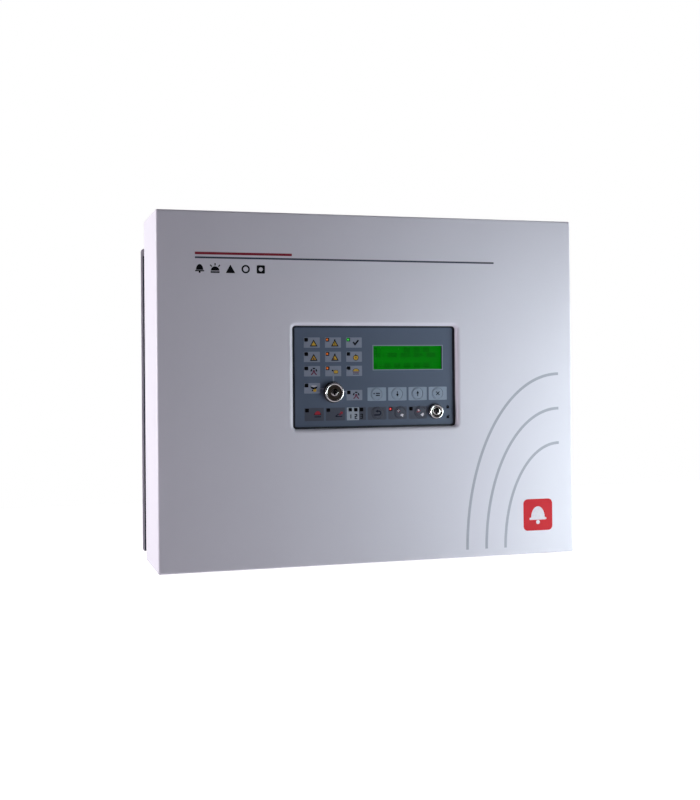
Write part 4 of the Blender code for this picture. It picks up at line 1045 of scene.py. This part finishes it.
def main_board_parts():
    low, high = mm_box("main_board")
    face = low.y
    parts = defaultdict(bmesh.new)
    for x, z, width, height in (
        (-96, 44, 24, 24), (-52, 50, 20, 9), (-52, 34, 20, 9),
        (-104, 12, 14, 7), (-82, 12, 14, 7), (28, 46, 18, 8), (28, 30, 18, 8),
        (-14, 4, 12, 6), (4, 4, 12, 6),
    ):
        add_chip(parts, x, z, width, height, face, -1)
    for x, z, radius, height in (
        (-18, 52, 6.3, 16), (-3, 52, 6.3, 16), (46, 66, 5, 12), (-132, 20, 4, 11),
        (-132, 8, 4, 11), (48, 12, 5, 14), (-40, 70, 3.2, 8), (-60, 70, 3.2, 8),
    ):
        add_capacitor(parts, x, z, radius, height, face)
    rng = random.Random(7)
    edge = 12
    for _ in range(90):
        x = rng.uniform(low.x + edge, high.x - edge)
        z = rng.uniform(low.z + edge, 70)
        wide, tall = (0.8, 0.45) if rng.random() < 0.5 else (0.45, 0.8)
        add_box(parts["small_parts"], (x - wide, face - 0.6, z - tall), (x + wide, face + 0.05, z + tall))
    for x, half in ((-120, 11), (-84, 8), (30, 13)):
        add_box(parts["headers"], (x - half, face - 8, -11.5), (x + half, face - 0.1, -4.5), 0.4)
    fuse_x = -70
    tube = ring_section(0, 2.5, -9, 9)
    cap = ring_section(0, 2.7, 0, 5)
    for z in (82, 92):
        add_turned(parts["fuses"], tube, (fuse_x, face - 4.5, z), (1, 0, 0), 32)
        for side in (-1, 1):
            add_turned(parts["fuse_caps"], cap, (fuse_x + side * 5.6, face - 4.5, z), (side, 0, 0), 32)
            ends = sorted((fuse_x + side * 6.5, fuse_x + side * 9.5))
            add_box(parts["fuse_caps"], (ends[0], face - 6.5, z - 3), (ends[1], face, z + 3), 0.3)
    inset = 6
    land = ring_section(3, 4.2, 0, 0.06)
    for x in (low.x + inset, high.x - inset):
        for z in (low.z + inset, high.z - inset):
            add_screw(parts["screws"], (x, face, z), 3)
            add_turned(parts["lands"], land, (x, face, z), OUT, 40)
    pieces("main_board", parts, chips="black", pins="zinc", capacitors="black", capacitor_tops="zinc",
           small_parts="beige", headers="white", fuses="clear", fuse_caps="zinc", screws="zinc")
    piece("main_board_lands", parts["lands"], "copper", slot="green_circuit_board")


def terminal_screws():
    """A slotted screw above each wire mouth of both terminal rows, and the ribs between the poles."""
    parts = defaultdict(bmesh.new)
    head = [(0, -0.1), (1.7, -0.1), (1.7, 0.5), (1.5, 0.7), (0, 0.7)]
    poles = 14
    half = 0.4
    for node in ("terminal_block_inputs", "terminal_block_outputs"):
        low, high = mm_box(node)
        pitch = (high.x - low.x) / poles
        for i in range(poles):
            add_turned(parts["screws"], head, (low.x + pitch * (i + 0.5), low.y, high.z - 7.2), OUT, 24)
        for i in range(poles + 1):
            x = min(max(low.x + pitch * i, low.x + half), high.x - half)
            far = (x + half, low.y + 0.2, high.z - 0.2)
            add_box(parts["ribs"], (x - half, low.y - 0.9, low.z + 0.6), far, 0.15)
    pieces("terminal", parts, screws="zinc", ribs="terminal")


def supply_parts():
    parts = defaultdict(bmesh.new)
    low, high = mm_box("supply_lid")
    for x in (low.x + 6, high.x - 6):
        for z in (low.z + 8, high.z - 6):
            add_screw(parts["lid_screws"], (x, low.y, z), 2.8)
    board = mm_box("supply_board")[0]
    for x, z, radius, height in ((100, 88, 9, 26), (100, 64, 9, 26), (166, 40, 6, 20),
                                 (166, 24, 6, 20), (166, 100, 5, 15)):
        add_capacitor(parts, x, z, radius, height, board.y)
    pieces("supply", parts, lid_screws="zinc", capacitors="black", capacitor_tops="zinc")
    low, high = mm_box("supply_transformer")
    winding = bmesh.new()
    for z in (low.z + 1, high.z - 1):
        for k in range(5):
            x = low.x + 3 + 7 * k
            add_box(winding, (x, low.y + 6, z - 2.4), (x + 5, high.y - 5, z + 2.4), 0.6)
    piece("supply_windings", winding, "copper", slot="transformer_tape")


def batteries():
    """A lid seam, two plain labels and their stripes on each battery."""
    seams = bmesh.new()
    labels = bmesh.new()
    stripes = bmesh.new()
    for tag in ("left", "right"):
        low, high = mm_box(f"battery_{tag}")
        seam = high.z - 18
        far = (high.x + 0.12, high.y - 0.4, seam + 0.5)
        add_box(seams, (low.x - 0.12, low.y - 0.25, seam - 0.5), far, 0.1)
        x = (low.x + high.x) / 2
        for z, tall in ((66, 18), (20, 26)):
            add_prism(labels, rounded_rect(x, low.z + z, 92, tall, 2), low.y - 0.15, low.y + 0.05)
        for k in range(3):
            add_prism(stripes, rect(x - 22, low.z + 61.5 + 4.5 * k, 34, 1.4), low.y - 0.2, low.y)
        add_prism(stripes, rounded_rect(x, low.z + 29.5, 92, 4, 0.6), low.y - 0.2, low.y)
    piece("battery_lid_seams", seams, "black", slot="battery_case_grey")
    piece("battery_labels", labels, "pale", slot="white_plastic")
    piece("battery_label_stripes", stripes, "navy", slot="black_plastic")


def battery_leads():
    """The link between the two batteries, and a red and a black lead up to the main board."""
    left = mm_box("battery_left")
    right = mm_box("battery_right")
    board_y = mm_box("main_board")[0].y - 5
    z = left[1].z - 3
    y = -13
    left_tabs = (left[0].x + 14, left[1].x - 14)
    right_tabs = (right[0].x + 14, right[1].x - 14)
    sleeves = bmesh.new()
    for x in left_tabs + right_tabs:
        add_box(sleeves, (x - 1.6, y - 4.2, z - 3.2), (x + 1.6, y + 4.2, z + 5.5), 0.8)
    piece("battery_sleeves", sleeves, "red_wire")
    a, b = left_tabs
    c, d = right_tabs
    for name, finish, points in (
        ("battery_link", "jacket", [
            (b, y, z + 5), (b + 2, y, z + 14), (b + 15, y, z + 21),
            (c - 8, y, z + 20), (c - 1, y, z + 13), (c, y, z + 5),
        ]),
        ("battery_lead_red", "red_wire", [
            (d, y, z + 5), (d - 2, y, z + 12), (d - 20, y, z + 18),
            (70, y, z + 20), (50, y - 2, z + 24), (36, board_y, -17), (35, board_y, -11.6),
        ]),
        ("battery_lead_black", "jacket", [
            (a, y, z + 5), (a + 2, y, z + 11), (a + 20, y, z + 15), (-80, y, z + 17),
            (-20, y - 5, z + 14), (10, board_y, -24), (25, board_y, -17.5), (26, board_y, -11.6),
        ]),
    ):
        bm = bmesh.new()
        add_tube(bm, points, LEAD_R)
        piece(name, bm, finish)


def tray_fixings():
    """Screws that hold the battery bar, the striker and the wires of the mains terminal."""
    screws = bmesh.new()
    low, high = mm_box("battery_bracket")
    for x in (low.x + 7, high.x - 7):
        add_screw(screws, (x, high.y - 1.5, (low.z + high.z) / 2), 3.2)
    low, high = mm_box("striker_bracket")
    for z in (low.z + 5, high.z - 5):
        add_screw(screws, (high.x - 6, high.y - 1.5, z), 2.8)
    low, high = mm_box("mains_terminal")
    for i in range(6):
        for z in (low.z + 3.6, high.z - 3.6):
            add_screw(screws, (low.x + 8 + 11 * i, high.y - 20, z), 1.9, 0.9)
    piece("tray_screws", screws, "zinc")


def earth_stud():
    low, high = mm_box("earth_stud")
    centre = (low + high) / 2
    length = high.y - low.y
    profile = [(0, 0), (2.3, 0)]
    depth = 0.6
    while depth < 15:
        profile += [(3, depth), (2.6, depth + 0.4)]
        depth += 0.8
    profile += [(3, 15.6), (3, length), (0, length)]
    bm = turned(profile, (centre.x, low.y, centre.z), IN, 32)
    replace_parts(piece("earth_stud_thread", bm, "brass", angle=20), "earth_stud")
    nuts = bmesh.new()
    add_hexagon(nuts, (centre.x, high.y - 7.5, centre.z), 3.1, 4.9, 3)
    washer = ring_section(3.1, 6.2, 0, 0.8)
    add_turned(nuts, washer, (centre.x, high.y - 4.3, centre.z), IN, 40)
    piece("earth_stud_nut", nuts, "brass", angle=20)


def grommets():
    for n in (1, 2, 3):
        low, high = mm_box(f"cable_grommet_{n}")
        centre = (low + high) / 2
        bm = turned([
            (0, 0.5), (2, 0.5), (3.4, 0.3), (5, 0.4), (6, 1.6), (7, 3.1), (7.8, 3.4), (9.4, 3.3),
            (11.2, 2.9), (11.8, 2.3), (12, 1.4), (11.9, 0.3), (9.7, 0.3), (9.7, -1.8), (11.9, -1.8),
            (12, -2.6), (11.5, -3.6), (8, -3.7), (6, -3.5), (5, -0.8), (0, -0.8),
        ], (centre.x, centre.y, high.z - 3.4), (0, 0, 1), 64)
        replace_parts(piece(f"grommet_{n}", bm, "rubber", angle=50), f"cable_grommet_{n}")


def hinges():
    """Hinge pins, turned finer than their CAD solids."""
    for tag in ("upper", "lower"):
        low, high = mm_box(f"hinge_pin_{tag}")
        tall = high.z - low.z
        bm = turned([
            (0, 0), (1.6, 0.05), (2.5, 0.35), (2.8, 0.8), (2.8, 1.2), (1.6, 1.2), (1.6, tall - 1),
            (1.2, tall - 0.2), (0.8, tall), (0, tall),
        ], ((low.x + high.x) / 2, (low.y + high.y) / 2, low.z), (0, 0, 1), 40)
        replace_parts(piece(f"hinge_pin_{tag}_turned", bm, "zinc"), f"hinge_pin_{tag}")


def loom():
    """The jacketed loom from the main board to the keypad board, straight along the hinge axis between."""
    plug_x = mm_box("loom_plug")[0].x
    header_x = -78
    header_z = -20
    hinge = middle("hinge_pin_upper")
    x, y = hinge.x, hinge.y
    route_z = 45
    depth = -18.9
    header_y = -88.5
    wall = DOOR_LOW.x + DOOR_SHEET + 4
    points = [
        (plug_x - 0.3, depth, route_z), (plug_x - 14, depth, route_z), (-184, y, route_z),
        (-196, y, route_z), (-203, y, route_z), (-210.2, y, route_z), (-216.4, y, route_z - 3),
        (x, y, route_z - 10), (x, y, 14), (x, y, 0), (x, y, -16), (x, y - 2, -28),
        (x, y - 11, -36), (wall, y - 28, -38), (wall, -70, -38), (wall + 4, -88, -36),
        (wall + 18, -96, -32), (-170, -97, -28), (-125, -96, -24),
        (-102, -91, header_z - 1), (header_x - 11, header_y, header_z),
        (header_x - 0.3, header_y, header_z),
    ]
    bm = bmesh.new()
    add_tube(bm, points, 2.5, 16, 10)
    tube = piece("loom", bm, "jacket", None, angle=60)
    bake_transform(tube)
    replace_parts(tube, "loom_tray_side", "loom_door_side")


def keypad_back():
    """Circuits on the rear of the keypad board and the display's board."""
    face = mm_box("keypad_board")[1].y - 9
    parts = defaultdict(bmesh.new)
    for x, z, width, height in ((-40, 42, 18, 10), (-22, 18, 12, 7), (-52, 20, 12, 7),
                                (20, -22, 14, 7)):
        add_chip(parts, x, z, width, height, face, 1)
    display_face = mm_box("lcd_board")[1].y
    blob = [(0, 0), (6, 0), (5.4, 0.7), (3.6, 1.3), (0, 1.6)]
    for x in (18, 40, 60):
        add_turned(parts["chips"], blob, (x, display_face, 34), IN, 40)
    rng = random.Random(11)
    for _ in range(40):
        x = rng.uniform(-68, -6)
        z = rng.uniform(6, 50)
        add_box(parts["small_parts"], (x - 0.8, face - 0.05, z - 0.45), (x + 0.8, face + 0.6, z + 0.45))
    pieces("keypad", parts, "door", chips="black", pins="zinc", small_parts="beige")


def knock_outs():
    """Part-cut cable knock-outs in the back plate, seen as fine rings from both sides."""
    bm = bmesh.new()
    ring = ring_section(9.6, 10, -0.02, 0.05)
    for x, z in ((-180, 10), (-180, -70), (0, -36), (192, -110)):
        for y, direction in ((-PLATE_SHEET, OUT), (0, IN)):
            add_turned(bm, ring, (x, y, z), direction)
    piece("knock_out_rings", bm, "rule_grey", slot="grey_white_paint")


# Camera, light and stage

def add_camera():
    data = bpy.data.cameras.new("camera")
    data.sensor_width = 36
    data.lens = LENS
    data.shift_x, data.shift_y = LENS_SHIFT
    data.clip_start = 0.01
    camera = bpy.data.objects.new("camera", data)
    yaw, pitch, roll = (math.radians(angle) for angle in CAMERA_TURN)
    aim = Matrix.Rotation(-yaw, 4, "Z") @ Matrix.Rotation(math.radians(90) + pitch, 4, "X")
    camera.matrix_world = Matrix.Translation(CAMERA_PLACE) @ aim @ Matrix.Rotation(-roll, 4, "Z")
    bpy.context.scene.collection.objects.link(camera)
    bpy.context.scene.camera = camera


def softbox(name, place, target, width, height, power, colour=(1, 1, 1), spread=180):
    data = bpy.data.lights.new(name, "AREA")
    data.shape = "RECTANGLE"
    data.size = width
    data.size_y = height
    data.energy = power
    data.color = colour
    data.spread = math.radians(spread)
    light = bpy.data.objects.new(name, data)
    light.location = place
    light.rotation_euler = (Vector(target) - Vector(place)).to_track_quat("-Z", "Y").to_euler()
    bpy.context.scene.collection.objects.link(light)


def add_world():
    """White to the camera; to everything else, a studio whose light depends on depth."""
    world = bpy.data.worlds.new("studio")
    bpy.context.scene.world = world
    world.use_nodes = True
    tree = world.node_tree
    seen = tree.nodes["Background"]
    feed(tree, seen, {"Color": WHITE, "Strength": 1})
    place = add_node(tree, "TexCoord", {}).outputs["Generated"]
    depth = add_node(tree, "SeparateXYZ", {"Vector": place}).outputs["Y"]
    span = add_node(tree, "MapRange", {"Value": depth, "From Min": -1})
    ramp = add_node(tree, "FloatCurve", {"Value": span.outputs["Result"]})
    curve = ramp.mapping.curves[0]
    ramp.mapping.use_clip = False
    curve.points[0].location = WORLD_CURVE[0]
    curve.points[1].location = WORLD_CURVE[-1]
    for spot in WORLD_CURVE[1:-1]:
        curve.points.new(*spot)
    ramp.mapping.update()
    lit = add_node(tree, "Background", {"Color": WORLD_COLOUR, "Strength": ramp.outputs["Value"]})
    ray = add_node(tree, "LightPath", {}).outputs["Is Camera Ray"]
    mix = add_node(tree, "MixShader", {
        "Fac": ray, 1: lit.outputs["Background"], 2: seen.outputs["Background"],
    })
    feed(tree, tree.nodes["World Output"], {"Surface": mix.outputs["Shader"]})


def add_stage():
    bm = bmesh.new()
    bmesh.ops.create_grid(bm, x_segments=1, y_segments=1, size=FLOOR_REACH)
    floor = to_object("floor", bm)
    pale = look("floor_white", (0.92, 0.92, 0.93), 0.8, 0, 0.01, 2, Emission_Color=WHITE)
    tree = pale.node_tree
    ray = add_node(tree, "LightPath", {}).outputs["Is Camera Ray"]
    glow = add_node(tree, "Math", {0: ray, 1: FLOOR_GLOW}, operation="MULTIPLY")
    feed(tree, tree.nodes["Principled BSDF"], {"Emission Strength": glow.outputs["Value"]})
    floor.data.materials.append(pale)
    floor.location = (0, 0, FLOOR_Z)


add_camera()
add_world()
add_stage()
softbox("key_right", (0.66, -0.5, -0.2), (0.29, -0.108, -0.1), 0.4, 0.6, 1.2, (0.87, 0.975, 1), 66)
softbox("key_low", (0.95, -0.75, 0), (0.1, -0.108, 0), 0.6, 0.9, 0.6, (0.87, 0.975, 1))
softbox("side_left", (-1.2, 0.33, 0.15), (-0.225, -0.05, 0), 0.7, 0.9, 7.6, (0.93, 1, 0.89))
softbox("rim_left", (-1.3, -0.18, -0.05), (0.09, -0.108, 0), 0.1, 0.5, 7, (1, 0.92, 1))
bpy.context.scene.view_settings.view_transform = "Standard"

looks = make_looks()

for finish, nodes in DRESS.items():
    for node in nodes:
        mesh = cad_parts[node].data
        mesh.materials.clear()
        mesh.materials.append(looks[finish])

for build in (
    front_door, carrier_fixings, tiles, indicator_symbols, bottom_symbols, guide_lines, padlock_signs, keys,
    key_symbols, lamps, display, key_switch, door_lock, panel_nuts, door_graphics, finish_prints,
    main_board_parts, terminal_screws, supply_parts, batteries, battery_leads, tray_fixings, earth_stud,
    grommets, hinges, loom, keypad_back, knock_outs,
):
    build()
